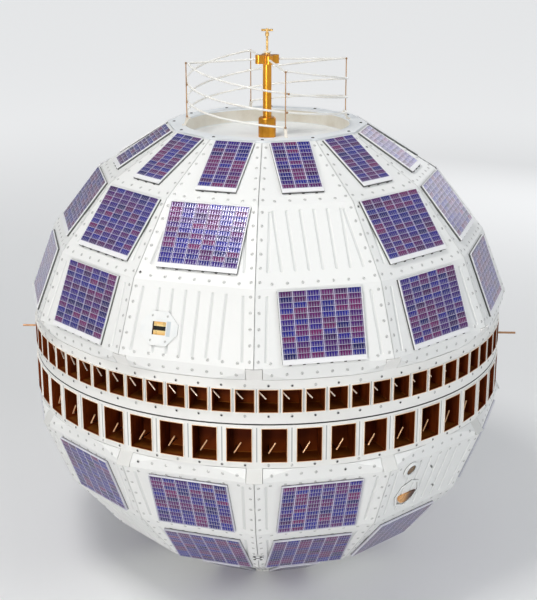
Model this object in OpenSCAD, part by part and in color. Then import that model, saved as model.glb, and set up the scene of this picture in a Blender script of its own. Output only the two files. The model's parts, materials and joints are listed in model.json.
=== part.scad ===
// Faceted ball satellite: two halves of twelve folded skin gores, two belts of antenna
// ports round the middle, panels of solar cells, and a four-wire helix on a mast.
// Millimetres, +Z up along the mast. The origin is the middle of the bottom ring's underside.

/* [Ball] */
// Diameter across the belts of antenna ports
belt_d = 876; // [800:1:960]
// Height of each belt, from the split at the equator to the skin
belt_h = 78; // [76:0.5:84]
// Height above the equator of the fold where the flat facets begin
shoulder_z = 99.6; // [96:0.2:110]
// Angle from one fold to the next, seen from the ball's centre
fold_step = 18.8; // [18:0.1:19.4]
// Distance across the flats of the end rings
ring_flats = 353; // [330:1:380]
// Thickness of the skin
skin_t = 4; // [3.2:0.1:5]
// Open line between neighbouring skin pieces
seam_gap = 0.8; // [0.3:0.1:1]
// How far the belts stand out from the flats of the skin
belt_step = 1.7; // [1:0.1:3]

/* [Skin details] */
// Width of the locking tabs at the skin's corners
tab_w = 27; // [20:0.5:34]
// Distance between the stiffening grooves of a facet
groove_pitch = 23; // [20:0.5:25]
// Width of a stiffening groove
groove_w = 6; // [4:0.2:8]
// Depth of a stiffening groove
groove_d = 1.6; // [0.8:0.1:2.2]
// Distance of the outermost grooves from the seams
groove_side = 20; // [18:0.5:24]

/* [Solar panels] */
// Width of one solar cell's place
cell_pitch_w = 22.8; // [20:0.1:23.2]
// Height of one solar cell's place
cell_pitch_h = 9.1; // [8:0.05:9.2]
// Gap between two columns of cells
cell_gap = 1.6; // [0.6:0.1:2.4]
// Thickness of a panel's tray
tray_t = 5; // [3:0.1:8]
// Depth of the tray's pocket, which holds the cells
pocket_d = 1; // [0.6:0.1:1.6]
// Width of the tray's plain border
tray_border = 1.5; // [1:0.1:3]
// Width of the tray's lip on the side of the belts
tray_lip = 8; // [5:0.5:9]
// Distance from the fold on the pole's side to the tray
tray_edge = 4.5; // [3:0.1:6]

/* [Antenna belts] */
// Thickness of the white belt faces
face_t = 4; // [3:0.1:6]
// Depth of the port cavities behind the belt faces
cavity_depth = 32; // [24:0.5:44]
// Thickness of the cavities' back wall
back_t = 6; // [4:0.5:10]
// Open line at the equator between the two belt faces
split_gap = 2; // [1:0.1:3]
// Width of an upper port's opening, as a share of the distance between the ports
upper_port_w_share = 0.785; // [0.64:0.005:0.82]
// Height of an upper port's opening, as a share of the belt's height
upper_port_h_share = 0.487; // [0.38:0.001:0.52]
// Height of the plain strip below the upper ports, as a share of the belt's height
upper_strip_share = 0.2885; // [0.26:0.0005:0.34]
// Width of a lower port's opening, as a share of the distance between the ports
lower_port_w_share = 0.7065; // [0.58:0.0005:0.78]
// Height of a lower port's opening, as a share of the belt's height
lower_port_h_share = 0.7436; // [0.62:0.0002:0.78]
// Height of the plain strip above the lower ports, as a share of the belt's height
lower_strip_share = 0.0923; // [0.075:0.0001:0.12]
// Thickness of the port frames
port_frame_t = 1.6; // [1:0.1:2]
// How far the port frames stand out from the belt faces
port_frame_proud = 2; // [1:0.1:3]
// Diameter of the slanted probe rods in the ports
probe_d = 2.4; // [1.6:0.1:3]
// How far behind the frame's front a probe lies
probe_inset = 8; // [7:0.2:14]

/* [Mast and helix] */
// Width of the flat end rings, from the flats to the round opening
ring_w = 24.5; // [20:0.5:28]
// Thickness of the end rings
ring_t = 3; // [2:0.1:5]
// Depth of the round well that the mast stands in
well_depth = 27; // [20:0.5:34]
// Thickness of the well's wall and floor
well_t = 3; // [2:0.1:5]
// Diameter of the mast's base
mast_base_d = 32; // [26:0.5:40]
// Height of the mast's base
mast_base_h = 36; // [28:0.5:44]
// Diameter of the mast's tube
mast_d = 16; // [13:0.1:20]
// Length of the mast's tube above its base
mast_h = 98; // [80:0.5:120]
// Height of the hub on the mast
hub_h = 15.5; // [12:0.1:20]
// Diameter of the hub's core
hub_d = 24; // [20:0.5:28]
// Width across the hub's lobes, which hold the wires' arms
hub_span = 44; // [40:0.5:52]
// Width of one lobe of the hub
lobe_w = 14; // [11:0.5:17]
// Height of the tip above the hub
tip_h = 47; // [36:0.5:60]
// Diameter of the tip's rod
tip_d = 4.2; // [3:0.1:5.5]
// Diameter of the helix wires
wire_d = 3.8; // [3:0.1:5]
// Gap between the helix and the edge of the round opening
helix_inset = 6; // [5:0.5:10]
// Drop of a wire's arm from the hub to its bend
arm_drop = 3; // [0:0.1:6]
// Height of a wire's lower end above the top ring
wire_end_h = 16; // [12:0.5:22]
// Angle that each wire turns through on its way down
wire_turn = 270; // [240:1:300]

/* [Fittings] */
// Diameter of the handling pins
pin_d = 4; // [3:0.1:6]
// Length of a handling pin outside the belt
pin_l = 39; // [28:0.5:50]
// Diameter of the bolt holes in the bottom ring
bolt_hole_d = 6.6; // [4.5:0.1:8]
// Diameter of the sealed canister inside the ball
canister_d = 510; // [440:1:600]
// Height of the sealed canister
canister_h = 420; // [360:1:460]
// Thickness of the canister's mounting flange
flange_t = 6; // [4:0.2:8]

/* [Hidden] */
GORES = 12;
ROWS = 3;
UPPER_PORTS = 72;
LOWER_PORTS = 48;
WIRES = 4;
CELL_ROWS = 12;
LARGE_COLUMNS = 6;
SMALL_COLUMNS = 3;
HALF_GORE = 180 / GORES;
ROD_SIDES = 24;
FRONT_AZ = -90;
QUARTER_TURN = 90;
$fn = 96;

// Overrun of cuts past the faces that they open
over = 5;
// Sliding clearance of parts that sit in one another
fit = 0.1;

// Main heights and radii, from the ball's centre
belt_r = belt_d / 2;
shoulder_r = belt_r - belt_step;
fold_r = norm([shoulder_r, shoulder_z]);
ring_flat_r = ring_flats / 2;
ring_lat = acos(ring_flat_r / fold_r);
ring_z = fold_r * sin(ring_lat);
corner_r = shoulder_r / cos(HALF_GORE);
ball_z = ring_z + ring_t;

// The folds of a gore at the middle of its facets, from the belt up: radius and height
function fold_lat(i) = ring_lat - (ROWS - i) * fold_step;
folds = concat(
    [[shoulder_r, shoulder_z]],
    [for (i = [1 : ROWS]) fold_r * [cos(fold_lat(i)), sin(fold_lat(i))]]
);
function facet_len(i) = norm(folds[i + 1] - folds[i]);
function facet_tilt(i) = atan2(folds[i][0] - folds[i + 1][0], folds[i + 1][1] - folds[i][1]);
function half_width(i, up) = (folds[i][0] - up * sin(facet_tilt(i))) * tan(HALF_GORE);
function gore_az(k) = FRONT_AZ + HALF_GORE + k * 2 * HALF_GORE;

// The skin's inner side: the folds moved in by the skin, and a thick rim that sits on the belt
inner_share = 1 - skin_t / (fold_r * cos(fold_step / 2));
rim_share = 4.5;
rim_t = rim_share * skin_t;
inner_end_r = folds[2][0] * inner_share
    + (ring_z - folds[2][1] * inner_share) * (folds[3][0] - folds[2][0]) / (folds[3][1] - folds[2][1]);
gore_profile = [
    [shoulder_r, belt_h], folds[0], folds[1], folds[2], folds[3],
    [inner_end_r, ring_z], folds[2] * inner_share, folds[1] * inner_share,
    [shoulder_r - rim_t, shoulder_z], [shoulder_r - rim_t, belt_h]
];

// The round bevel that carries the skin's corners into the round belts
bevel_proud = 0.5;
bevel_slope = (corner_r - belt_r) / (shoulder_z - belt_h);
bevel_top = shoulder_z + 2 * bevel_proud;
function bevel_r(z) = belt_r + bevel_proud + bevel_slope * (z - belt_h);

// Locking tabs: angle, height, and how far they lie below the bevel
tab_angle = 2 * asin(tab_w / 2 / corner_r);
gap_angle = 2 * asin(seam_gap / 2 / corner_r);
tab_sunk = 0.4;
tab_root = face_t / 2;

// Grooves: the cutter's radius gives the groove's width at its depth
groove_r = (groove_w * groove_w / 4 + groove_d * groove_d) / (2 * groove_d);
GROOVE_COUNT = 6;
GROOVE_SIDES = 48;
groove_top = 8;
groove_foot = 7;
strip_foot = 25;

// Panels: which facets of each row are left bare, counted from the facet right of the front seam
BARE_FACETS = [[], [0, 6], [5, 11], [1, 7], [4, 10], [1, 4, 7, 10]];
function columns(row) = row == 0 || row == 5 ? SMALL_COLUMNS : LARGE_COLUMNS;
function facet_of(row) = row < ROWS ? ROWS - 1 - row : row - ROWS;
function has_panel(row, k) = len(search(k, BARE_FACETS[row])) == 0;
cells_h = CELL_ROWS * cell_pitch_h;
tray_h = tray_border + cells_h + tray_lip;
strip_share = 0.9;
strip_t = strip_share * pocket_d;
pocket_play = 0.3;

// Belts and their cavities
cavity_r = belt_r - face_t;
cavity_floor_r = cavity_r - cavity_depth;
cavity_in_r = cavity_floor_r - back_t;
upper_port_w = upper_port_w_share * PI * belt_d / UPPER_PORTS;
upper_port_h = upper_port_h_share * belt_h;
upper_strip = upper_strip_share * belt_h;
lower_port_w = lower_port_w_share * PI * belt_d / LOWER_PORTS;
lower_port_h = lower_port_h_share * belt_h;
lower_strip = lower_strip_share * belt_h;
upper_mid_z = upper_strip + upper_port_h / 2;
lower_mid_z = -lower_strip - lower_port_h / 2;
BELT_TURN_ANGLE = 0.5;
probe_x = belt_r + port_frame_proud - probe_inset;
// Foot and tip of a probe, as shares of its port's width and height from the middle
upper_probe_shares = [[-0.5, 0.34], [-0.13, 0.018]];
lower_probe_shares = [[-0.22, -0.29], [0.052, 0.026]];

// Top ring, well, mast and helix
opening_r = ring_flat_r - ring_w;
ring_over = 1;
top_z = ring_z + ring_t;
well_floor_z = top_z - well_depth;
well_lip = 8;
base_top_z = well_floor_z + mast_base_h;
hub_z = base_top_z + mast_h;
socket_depth = 8;
helix_r = opening_r - helix_inset;
wire_top_z = hub_z + hub_h / 2;
wire_end_z = top_z + wire_end_h;
wire_seat = hub_span / 2 - socket_depth;
bend_z = wire_top_z - arm_drop;
bend_r = 8;
sag_share = 0.07;
WIRE_SIDES = 8;
WIRE_STEP_ANGLE = 7.5;
BEND_STEPS = 4;
FIRST_ARM_ANGLE = 15;

chamfer_share = 0.06;

// Feet and ties of the helix
foot_w = 5;
foot_l = 6;
foot_t = 2;
tie_d = 2;

// Tip of the mast
tip_neck_d = 11.5;
tip_neck_h = 4.5;
tip_cap_d = 14.3;
tip_cap_edge = 1.5;
tip_cap_h = 3.5;
tip_collar_d = 7;
tip_collar_h = 6;
tip_collar_share = 0.72;
tip_bar_l = 21;
tip_bar_share = 0.94;

// Bottom ring and canister
bolt_share = 0.66;
bolt_r = opening_r + bolt_share * ring_w;
cover_t = 3;
cover_lap = 6;
flange_play = 4;

// Sensors: place across and up their facets, and sizes
sun_at = [-50, 50];
sun_half = [32.5, 28];
sun_corner = [14.5, 8];
sun_window = [23, 21.5];
plate_t = 2;
slot_h = 7;
round_at = [-62, 17];
collar_r = 15.5;
collar_t = 4;
window_r = 10.5;
window_t = 2.5;
scoop_at = [-44, 80];
scoop_r = 31;
scoop_rim = 4;
scoop_disc_r = 21;
vents = [[3, 37], [32, 93]];
vent_size = [14, 3.6];
VENT_ANGLE = 45;
SCOOP_SIDES = 8;
SENSOR_GORE = 1;
SUN_GORE = 11;

// The round fitting on the front seam: its facet, height up the ridge, and sizes
FITTING_FACET = 1;
fitting_up = 100;
fitting_d = 20;
fitting_t = 2.5;
fitting_drop = 6;
fitting_slot = [9, 2.2];

// Lifts what is drawn round the ball's centre to its place above the origin
module at_ball() {
    translate([0, 0, ball_z])
        children();
}

// Turns to gore k, and mirrors what belongs to the lower half
module at_gore(k, lower = false) {
    rotate([0, 0, gore_az(k)])
        mirror([0, 0, lower ? 1 : 0])
            children();
}

// A facet's own frame: X out of the facet, Y across it and Z up it from its belt-side fold
module on_facet(i) {
    translate([folds[i][0], 0, folds[i][1]])
        rotate([0, -facet_tilt(i), 0])
            children();
}

// A groove cutter of a given length along Z, with tapered ends
module groove(length) {
    translate([groove_r - groove_d, 0, 0])
        rotate_extrude($fn = GROOVE_SIDES)
            polygon([[0, 0], [groove_r, groove_r], [groove_r, length - groove_r], [0, length]]);
}

// The stiffening grooves of one large facet: six straight ones, and one along each seam
module facet_grooves(i) {
    foot = i == 0 ? groove_foot : strip_foot;
    length = facet_len(i) - groove_top - foot;
    lean = atan((half_width(i, 0) - half_width(i, facet_len(i))) / facet_len(i));
    on_facet(i) {
        for (n = [0 : GROOVE_COUNT - 1])
            translate([0, (n - (GROOVE_COUNT - 1) / 2) * groove_pitch, foot])
                groove(length);
        for (side = [-1, 1])
            translate([0, side * (half_width(i, foot) - groove_side), foot])
                rotate([side * lean, 0, 0])
                    groove(length);
    }
}

// A ring sector of the belt-side corner, from the belt up to the shoulder
module corner_sector(angle, r_in, z_low, z_high, sunk) {
    rotate([0, 0, -angle / 2])
        rotate_extrude(angle = angle)
            polygon([
                [r_in, z_low], [bevel_r(max(z_low, belt_h)) - sunk, z_low],
                [bevel_r(max(z_low, belt_h)) - sunk, max(z_low, belt_h)],
                [bevel_r(z_high) - sunk, z_high], [r_in, z_high]
            ]);
}

// One folded skin gore of the upper half, in the frame of its own middle
module gore_skin() {
    tip = seam_gap / 2 / sin(HALF_GORE);
    reach = corner_r + over;
    side = (reach - tip) * tan(HALF_GORE);
    foot_z = belt_h - over;
    crown_z = ring_z + over;
    difference() {
        intersection() {
            rotate([QUARTER_TURN, 0, 0])
                linear_extrude(height = 2 * reach * tan(HALF_GORE), center = true)
                    polygon(gore_profile);
            linear_extrude(height = crown_z)
                polygon([[tip, 0], [reach, -side], [reach, side]]);
            rotate_extrude()
                polygon([
                    [0, foot_z], [bevel_r(foot_z), foot_z], [bevel_r(bevel_top), bevel_top],
                    [bevel_r(bevel_top) + over, bevel_top], [bevel_r(bevel_top) + over, crown_z], [0, crown_z]
                ]);
        }
        facet_grooves(0);
        facet_grooves(1);
        for (turn = [-HALF_GORE, HALF_GORE])
            rotate([0, 0, turn])
                corner_sector(tab_angle + 2 * gap_angle, shoulder_r - rim_t - over, foot_z,
                    shoulder_z + seam_gap, -over);
    }
}

module upper_gore(k) {
    color("white")
        at_ball()
            at_gore(k)
                gore_skin();
}

// The lower gore beside the sensors also has two open vents
module lower_gore(k) {
    color("white")
        at_ball()
            at_gore(k, true)
                difference() {
                    gore_skin();
                    if (k == SENSOR_GORE)
                        on_facet(0)
                            for (at = vents)
                                translate([0, at[0], at[1]])
                                    rotate([VENT_ANGLE, 0, 0])
                                        cube([2 * (skin_t + rim_t), vent_size[0], vent_size[1]], center = true);
                }
}

// Places children on each facet of a row that carries a panel, at the tray's lower edge
module on_panels(row) {
    i = facet_of(row);
    at_ball()
        for (k = [0 : GORES - 1])
            if (has_panel(row, k))
                at_gore(k, row >= ROWS)
                    on_facet(i)
                        translate([0, 0, facet_len(i) - tray_edge - tray_h])
                            children();
}

// Trays of one row: a plate with a pocket for the cells and a wide lip towards the belts
module panel_trays(row) {
    cells_w = columns(row) * cell_pitch_w;
    tray_w = cells_w + 2 * tray_border;
    color("gainsboro")
        on_panels(row)
            difference() {
                translate([0, -tray_w / 2, 0])
                    cube([tray_t, tray_w, tray_h]);
                translate([tray_t - pocket_d, -cells_w / 2 - pocket_play, tray_lip - pocket_play])
                    cube([pocket_d + over, cells_w + 2 * pocket_play, cells_h + 2 * pocket_play]);
            }
}

// Columns of solar cells in the trays of some rows
module panel_cells(rows) {
    color("midnightblue")
        for (row = rows)
            on_panels(row)
                for (c = [0 : columns(row) - 1])
                    translate([
                        tray_t - pocket_d, (c - columns(row) / 2) * cell_pitch_w + cell_gap / 2, tray_lip
                    ])
                        cube([strip_t, cell_pitch_w - cell_gap, cells_h]);
}

// Places children at each port of a belt, with X pointing out
module at_ports(count, mid_z) {
    at_ball()
        for (p = [0 : count - 1])
            rotate([0, 0, FRONT_AZ + BELT_TURN_ANGLE + (p + 0.5) * 360 / count])
                translate([0, 0, mid_z])
                    children();
}

// A radial block through a port, from one radius to another
module port_block(r_in, r_out, width, height) {
    translate([r_in, -width / 2, -height / 2])
        cube([r_out - r_in, width, height]);
}

// A white belt face: a ring with a window for every port frame, and tabs into the skin's corners
module belt_face(count, mid_z, port_w, port_h, lower) {
    frame_w = port_w + 2 * port_frame_t + 2 * fit;
    frame_h = port_h + 2 * port_frame_t + 2 * fit;
    difference() {
        at_ball()
            mirror([0, 0, lower ? 1 : 0]) {
                rotate_extrude()
                    polygon([
                        [cavity_r, split_gap / 2], [belt_r, split_gap / 2],
                        [belt_r, belt_h - seam_gap], [cavity_r, belt_h - seam_gap]
                    ]);
                for (k = [0 : GORES - 1])
                    rotate([0, 0, k * 2 * HALF_GORE])
                        corner_sector(tab_angle, cavity_r, belt_h - seam_gap - tab_root, shoulder_z, tab_sunk);
            }
        at_ports(count, mid_z)
            port_block(cavity_r - over, belt_r + over, frame_w, frame_h);
        if (!lower)
            at_pins()
                translate([0, 0, cavity_r - over])
                    cylinder(d = pin_d + 2 * fit, h = face_t + 2 * over);
    }
}

module upper_belt() {
    color("white")
        belt_face(UPPER_PORTS, upper_mid_z, upper_port_w, upper_port_h, false);
}

module lower_belt() {
    color("white")
        belt_face(LOWER_PORTS, lower_mid_z, lower_port_w, lower_port_h, true);
}

// Thin frames that line the belt's windows and stand a little proud
module port_frames(count, mid_z, port_w, port_h) {
    front_r = belt_r + port_frame_proud;
    at_ports(count, mid_z)
        difference() {
            port_block(cavity_r, front_r, port_w + 2 * port_frame_t, port_h + 2 * port_frame_t);
            port_block(cavity_r - over, front_r + over, port_w, port_h);
        }
}

module upper_port_frames() {
    color("seashell")
        port_frames(UPPER_PORTS, upper_mid_z, upper_port_w, upper_port_h);
}

module lower_port_frames() {
    color("seashell")
        port_frames(LOWER_PORTS, lower_mid_z, lower_port_w, lower_port_h);
}

// A ring of box cavities, open outwards, that carries the belt face and the skin's rim
module cavity_ring(count, mid_z, port_w, port_h, lower) {
    difference() {
        at_ball()
            mirror([0, 0, lower ? 1 : 0])
                rotate_extrude()
                    polygon([
                        [cavity_in_r, flange_t / 2], [cavity_r, flange_t / 2],
                        [cavity_r, belt_h], [cavity_in_r, belt_h]
                    ]);
        at_ports(count, mid_z)
            port_block(cavity_floor_r, belt_r + over, port_w, port_h);
    }
}

module upper_cavities() {
    color("peru")
        cavity_ring(UPPER_PORTS, upper_mid_z, upper_port_w, upper_port_h, false);
}

module lower_cavities() {
    color("peru")
        cavity_ring(LOWER_PORTS, lower_mid_z, lower_port_w, lower_port_h, true);
}

// A slanted rod from a foot to a tip, drawn across a port, with an overrun behind its foot
module slanted_rod(foot, tip, overrun) {
    translate([probe_x, foot[0], foot[1]])
        rotate([-atan2(tip[0] - foot[0], tip[1] - foot[1]), 0, 0])
            translate([0, 0, -overrun])
                cylinder(d = probe_d, h = norm(tip - foot) + overrun, $fn = ROD_SIDES);
}

// Upper probes: a straight rod from the port's side wall to near its middle
module upper_probes() {
    size = [upper_port_w, upper_port_h];
    foot = [for (n = [0, 1]) upper_probe_shares[0][n] * size[n]];
    tip = [for (n = [0, 1]) upper_probe_shares[1][n] * size[n]];
    color("sandybrown")
        at_ports(UPPER_PORTS, upper_mid_z)
            intersection() {
                slanted_rod(foot, tip, over);
                port_block(cavity_floor_r, belt_r, upper_port_w, upper_port_h);
            }
}

// Lower probes: a stem out of the cavity's back wall that bends into a slanted rod
module lower_probes() {
    size = [lower_port_w, lower_port_h];
    foot = [for (n = [0, 1]) lower_probe_shares[0][n] * size[n]];
    tip = [for (n = [0, 1]) lower_probe_shares[1][n] * size[n]];
    color("sandybrown")
        at_ports(LOWER_PORTS, lower_mid_z) {
            slanted_rod(foot, tip, 0);
            translate([cavity_floor_r, foot[0], foot[1]])
                rotate([0, QUARTER_TURN, 0])
                    cylinder(d = probe_d, h = probe_x - cavity_floor_r, $fn = ROD_SIDES);
            translate([probe_x, foot[0], foot[1]])
                sphere(d = probe_d, $fn = ROD_SIDES);
        }
}

// A flat twelve-sided end ring round the opening, its corners on the seams
module end_ring() {
    difference() {
        linear_extrude(height = ring_t)
            circle(r = (ring_flat_r + ring_over) / cos(HALF_GORE), $fn = GORES);
        translate([0, 0, -over])
            cylinder(r = opening_r, h = ring_t + 2 * over);
    }
}

module top_ring() {
    color("white")
        at_ball()
            translate([0, 0, ring_z])
                end_ring();
}

// The shallow round well under the top ring, hung by its lip
module antenna_well() {
    color("ivory")
        at_ball()
            rotate_extrude()
                polygon([
                    [0, well_floor_z - well_t], [opening_r + well_t, well_floor_z - well_t],
                    [opening_r + well_t, ring_z - well_t], [opening_r + well_lip, ring_z - well_t],
                    [opening_r + well_lip, ring_z], [opening_r, ring_z],
                    [opening_r, well_floor_z], [0, well_floor_z]
                ]);
}

module mast_base() {
    chamfer = chamfer_share * mast_base_d;
    color("goldenrod")
        at_ball()
            translate([0, 0, well_floor_z])
                rotate_extrude()
                    polygon([
                        [0, 0], [mast_base_d / 2, 0], [mast_base_d / 2, mast_base_h - chamfer],
                        [mast_base_d / 2 - chamfer, mast_base_h], [0, mast_base_h]
                    ]);
}

module mast_tube() {
    color("darkgoldenrod")
        at_ball()
            translate([0, 0, base_top_z])
                cylinder(d = mast_d, h = mast_h);
}

// The hub: a round core with a round-ended lobe, bored as a socket, for each wire's arm
module mast_hub() {
    lobe_r = hub_span / 2 - lobe_w / 2;
    color("goldenrod")
        at_ball()
            translate([0, 0, hub_z])
                difference() {
                    union() {
                        cylinder(d = hub_d, h = hub_h);
                        for (w = [0 : WIRES - 1])
                            rotate([0, 0, FIRST_ARM_ANGLE + w * 360 / WIRES]) {
                                translate([0, -lobe_w / 2, 0])
                                    cube([lobe_r, lobe_w, hub_h]);
                                translate([lobe_r, 0, 0])
                                    cylinder(d = lobe_w, h = hub_h);
                            }
                    }
                    for (w = [0 : WIRES - 1])
                        rotate([0, 0, FIRST_ARM_ANGLE + w * 360 / WIRES])
                            translate([wire_seat, 0, hub_h / 2])
                                rotate([0, QUARTER_TURN, 0])
                                    cylinder(d = wire_d + 2 * fit, h = hub_span);
                }
}

// The tip: a capped neck on the hub, then a thin rod with a collar and a short bar across its top
module mast_tip() {
    color("goldenrod")
        at_ball()
            translate([0, 0, hub_z + hub_h]) {
                rotate_extrude()
                    polygon([
                        [0, 0], [tip_neck_d / 2, 0], [tip_neck_d / 2, tip_neck_h], [tip_cap_d / 2, tip_neck_h],
                        [tip_cap_d / 2, tip_neck_h + tip_cap_edge], [tip_d / 2, tip_neck_h + tip_cap_h],
                        [tip_d / 2, tip_h], [0, tip_h]
                    ]);
                translate([0, 0, tip_collar_share * tip_h])
                    cylinder(d = tip_collar_d, h = tip_collar_h);
                translate([0, 0, tip_bar_share * tip_h])
                    rotate([0, QUARTER_TURN, 0])
                        cylinder(d = tip_d, h = tip_bar_l, center = true);
            }
}

// The line of a wire: out along its drooping arm, round a bend, and down a helix that falls faster at first
function arm_points() = [
    [wire_seat, 0, wire_top_z], [hub_span / 2 + wire_d, 0, wire_top_z], [helix_r - bend_r, 0, bend_z]
];
bend_angle = bend_r / helix_r * 180 / PI;
function bend_points() = [
    for (n = [1 : BEND_STEPS - 1])
        let (t = QUARTER_TURN * n / BEND_STEPS)
            [helix_r - bend_r + bend_r * sin(t), bend_r * (1 - cos(t)), bend_z]
];
wire_rings = ceil((wire_turn - bend_angle) / WIRE_STEP_ANGLE);
function fallen(t) = t + sag_share * sin(180 * t);
function coil_points() = [
    for (n = [0 : wire_rings])
        let (t = n / wire_rings, a = bend_angle + (wire_turn - bend_angle) * t)
            [helix_r * cos(a), helix_r * sin(a), bend_z + (wire_end_z - bend_z) * fallen(t)]
];
wire_line = concat(arm_points(), bend_points(), coil_points());

// Sweeps a round rod along a line of points that never runs straight up
function unit(v) = v / norm(v);
function heading(line, n) = unit(line[min(n + 1, len(line) - 1)] - line[max(n - 1, 0)]);
function swept_ring(line, n, r, sides) =
    let (t = heading(line, n), across = unit(cross([0, 0, 1], t)), up = cross(t, across))
        [for (s = [0 : sides - 1]) line[n] + r * (cos(360 * s / sides) * across + sin(360 * s / sides) * up)];

module swept_rod(line, r, sides) {
    last = len(line) - 1;
    points = [for (n = [0 : last]) each swept_ring(line, n, r, sides)];
    walls = [
        for (n = [0 : last - 1], s = [0 : sides - 1])
            let (a = n * sides + s, b = n * sides + (s + 1) % sides)
                [a, a + sides, b + sides, b]
    ];
    ends = [[for (s = [0 : sides - 1]) s], [for (s = [sides - 1 : -1 : 0]) last * sides + s]];
    polyhedron(points, concat(walls, ends));
}

module helix_wire(w) {
    color("white")
        at_ball()
            rotate([0, 0, FIRST_ARM_ANGLE + w * 360 / WIRES])
                swept_rod(wire_line, wire_d / 2, WIRE_SIDES);
}

// Slim brackets on the top ring under the wires' lower ends, each with a tie up to the arm above it
module helix_supports() {
    tie_r = helix_r + wire_d / 2 + fit + tie_d / 2;
    shelf_z = wire_end_z - wire_d / 2 - fit;
    color("peru")
        at_ball()
            for (w = [0 : WIRES - 1])
                rotate([0, 0, FIRST_ARM_ANGLE + wire_turn + w * 360 / WIRES]) {
                    translate([0, foot_w / 2, 0])
                        rotate([QUARTER_TURN, 0, 0])
                            linear_extrude(height = foot_w)
                                polygon([
                                    [opening_r + foot_l, top_z], [opening_r + foot_l, top_z + foot_t],
                                    [opening_r + foot_t, top_z + foot_t], [tie_r + tie_d / 2, shelf_z],
                                    [helix_r - wire_d, shelf_z], [helix_r - wire_d, shelf_z - foot_t],
                                    [helix_r, shelf_z - foot_t], [opening_r, top_z]
                                ]);
                    translate([tie_r, 0, shelf_z - foot_t / 2])
                        cylinder(d = tie_d, h = bend_z + wire_d / 2 - shelf_z + foot_t / 2, $fn = ROD_SIDES);
                }
}

// The plate's outline round a sensor, from its half sizes and corner points
module eight_sided(half, corner) {
    polygon([
        for (s = [[1, 1], [-1, 1], [-1, -1], [1, -1]])
            each s[0] * s[1] > 0
                ? [[s[0] * half[0], s[1] * corner[1]], [s[0] * corner[0], s[1] * half[1]]]
                : [[s[0] * corner[0], s[1] * half[1]], [s[0] * half[0], s[1] * corner[1]]]
    ]);
}

// Turns a facet's frame so that plates are drawn flat on it: X across, Y up, Z out
module flat_on_facet(at) {
    translate([0, at[0], at[1]])
        rotate([QUARTER_TURN, 0, QUARTER_TURN])
            children();
}

// White sensor plates: the sun sensor's cover, a round collar and an eight-sided scoop rim
module sensor_plates() {
    color("white")
        at_ball() {
            at_gore(SUN_GORE)
                on_facet(0)
                    flat_on_facet(sun_at)
                        difference() {
                            linear_extrude(height = plate_t)
                                eight_sided(sun_half, sun_corner);
                            translate([0, 0, plate_t / 2])
                                cube(concat(sun_window + 2 * [fit, fit], 2 * plate_t), center = true);
                        }
            at_gore(SENSOR_GORE, true)
                on_facet(0) {
                    flat_on_facet(round_at)
                        difference() {
                            cylinder(r = collar_r, h = collar_t);
                            translate([0, 0, -over])
                                cylinder(r = window_r + fit, h = collar_t + 2 * over);
                        }
                    flat_on_facet(scoop_at)
                        difference() {
                            cylinder(r = scoop_r, h = plate_t, $fn = SCOOP_SIDES);
                            translate([0, 0, -over])
                                cylinder(r = scoop_r - scoop_rim, h = plate_t + 2 * over, $fn = SCOOP_SIDES);
                        }
                }
        }
}

// Gold sensor windows: a slotted block, a disc and a half disc
module sensor_windows() {
    color("gold")
        at_ball() {
            at_gore(SUN_GORE)
                on_facet(0)
                    flat_on_facet(sun_at)
                        difference() {
                            translate([-sun_window[0] / 2, -sun_window[1] / 2, 0])
                                cube([sun_window[0], sun_window[1], plate_t]);
                            translate([-sun_window[0], -slot_h / 2, plate_t / 2])
                                cube([2 * sun_window[0], slot_h, plate_t]);
                        }
            at_gore(SENSOR_GORE, true)
                on_facet(0) {
                    flat_on_facet(round_at)
                        cylinder(r = window_r, h = window_t);
                    flat_on_facet(scoop_at)
                        intersection() {
                            cylinder(r = scoop_disc_r, h = window_t);
                            translate([-scoop_r, 0, -over])
                                cube([2 * scoop_r, scoop_r, window_t + 2 * over]);
                        }
                }
        }
}

// The ridge between two gores: X out of it, Y across it and Z along it from its belt-side fold
module on_ridge(i) {
    low = [folds[i][0] / cos(HALF_GORE), folds[i][1]];
    high = [folds[i + 1][0] / cos(HALF_GORE), folds[i + 1][1]];
    translate([low[0], 0, low[1]])
        rotate([0, -atan2(low[0] - high[0], high[1] - low[1]), 0])
            children();
}

// What lies below the plane of a facet, as far as a fitting reaches
module below_facet(k, i) {
    reach = facet_len(i) + over;
    at_gore(k, true)
        on_facet(i)
            translate([-reach, -reach, 0])
                cube([reach, 2 * reach, reach]);
}

// A round fitting that sits astride the front seam below the belts, with a slot in its face
module seam_fitting() {
    color("white")
        at_ball()
            difference() {
                rotate([0, 0, FRONT_AZ])
                    mirror([0, 0, 1])
                        on_ridge(FITTING_FACET)
                            translate([0, 0, fitting_up])
                                rotate([0, QUARTER_TURN, 0])
                                    difference() {
                                        translate([0, 0, -fitting_drop])
                                            cylinder(d = fitting_d, h = fitting_drop + fitting_t);
                                        translate([0, 0, fitting_t])
                                            cube([fitting_slot[1], fitting_slot[0], fitting_t], center = true);
                                    }
                intersection() {
                    below_facet(0, FITTING_FACET);
                    below_facet(GORES - 1, FITTING_FACET);
                }
            }
}

// The ring that the ball stands on, with a bolt hole beside each corner
module bottom_ring() {
    color("white")
        difference() {
            end_ring();
            for (k = [0 : GORES - 1])
                rotate([0, 0, k * 2 * HALF_GORE])
                    translate([bolt_r, 0, -over])
                        cylinder(d = bolt_hole_d, h = ring_t + 2 * over);
        }
}

// A plain disc that closes the bottom ring's opening from inside
module bottom_cover() {
    color("gainsboro")
        translate([0, 0, ring_t])
            cylinder(r = opening_r + cover_lap, h = cover_t);
}

// Places children at the two handling pins, with Z pointing out
module at_pins() {
    at_ball()
        for (side = [0, 180])
            rotate([0, 0, side])
                translate([0, 0, (upper_strip - port_frame_t + split_gap / 2) / 2])
                    rotate([0, QUARTER_TURN, 0])
                        children();
}

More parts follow.
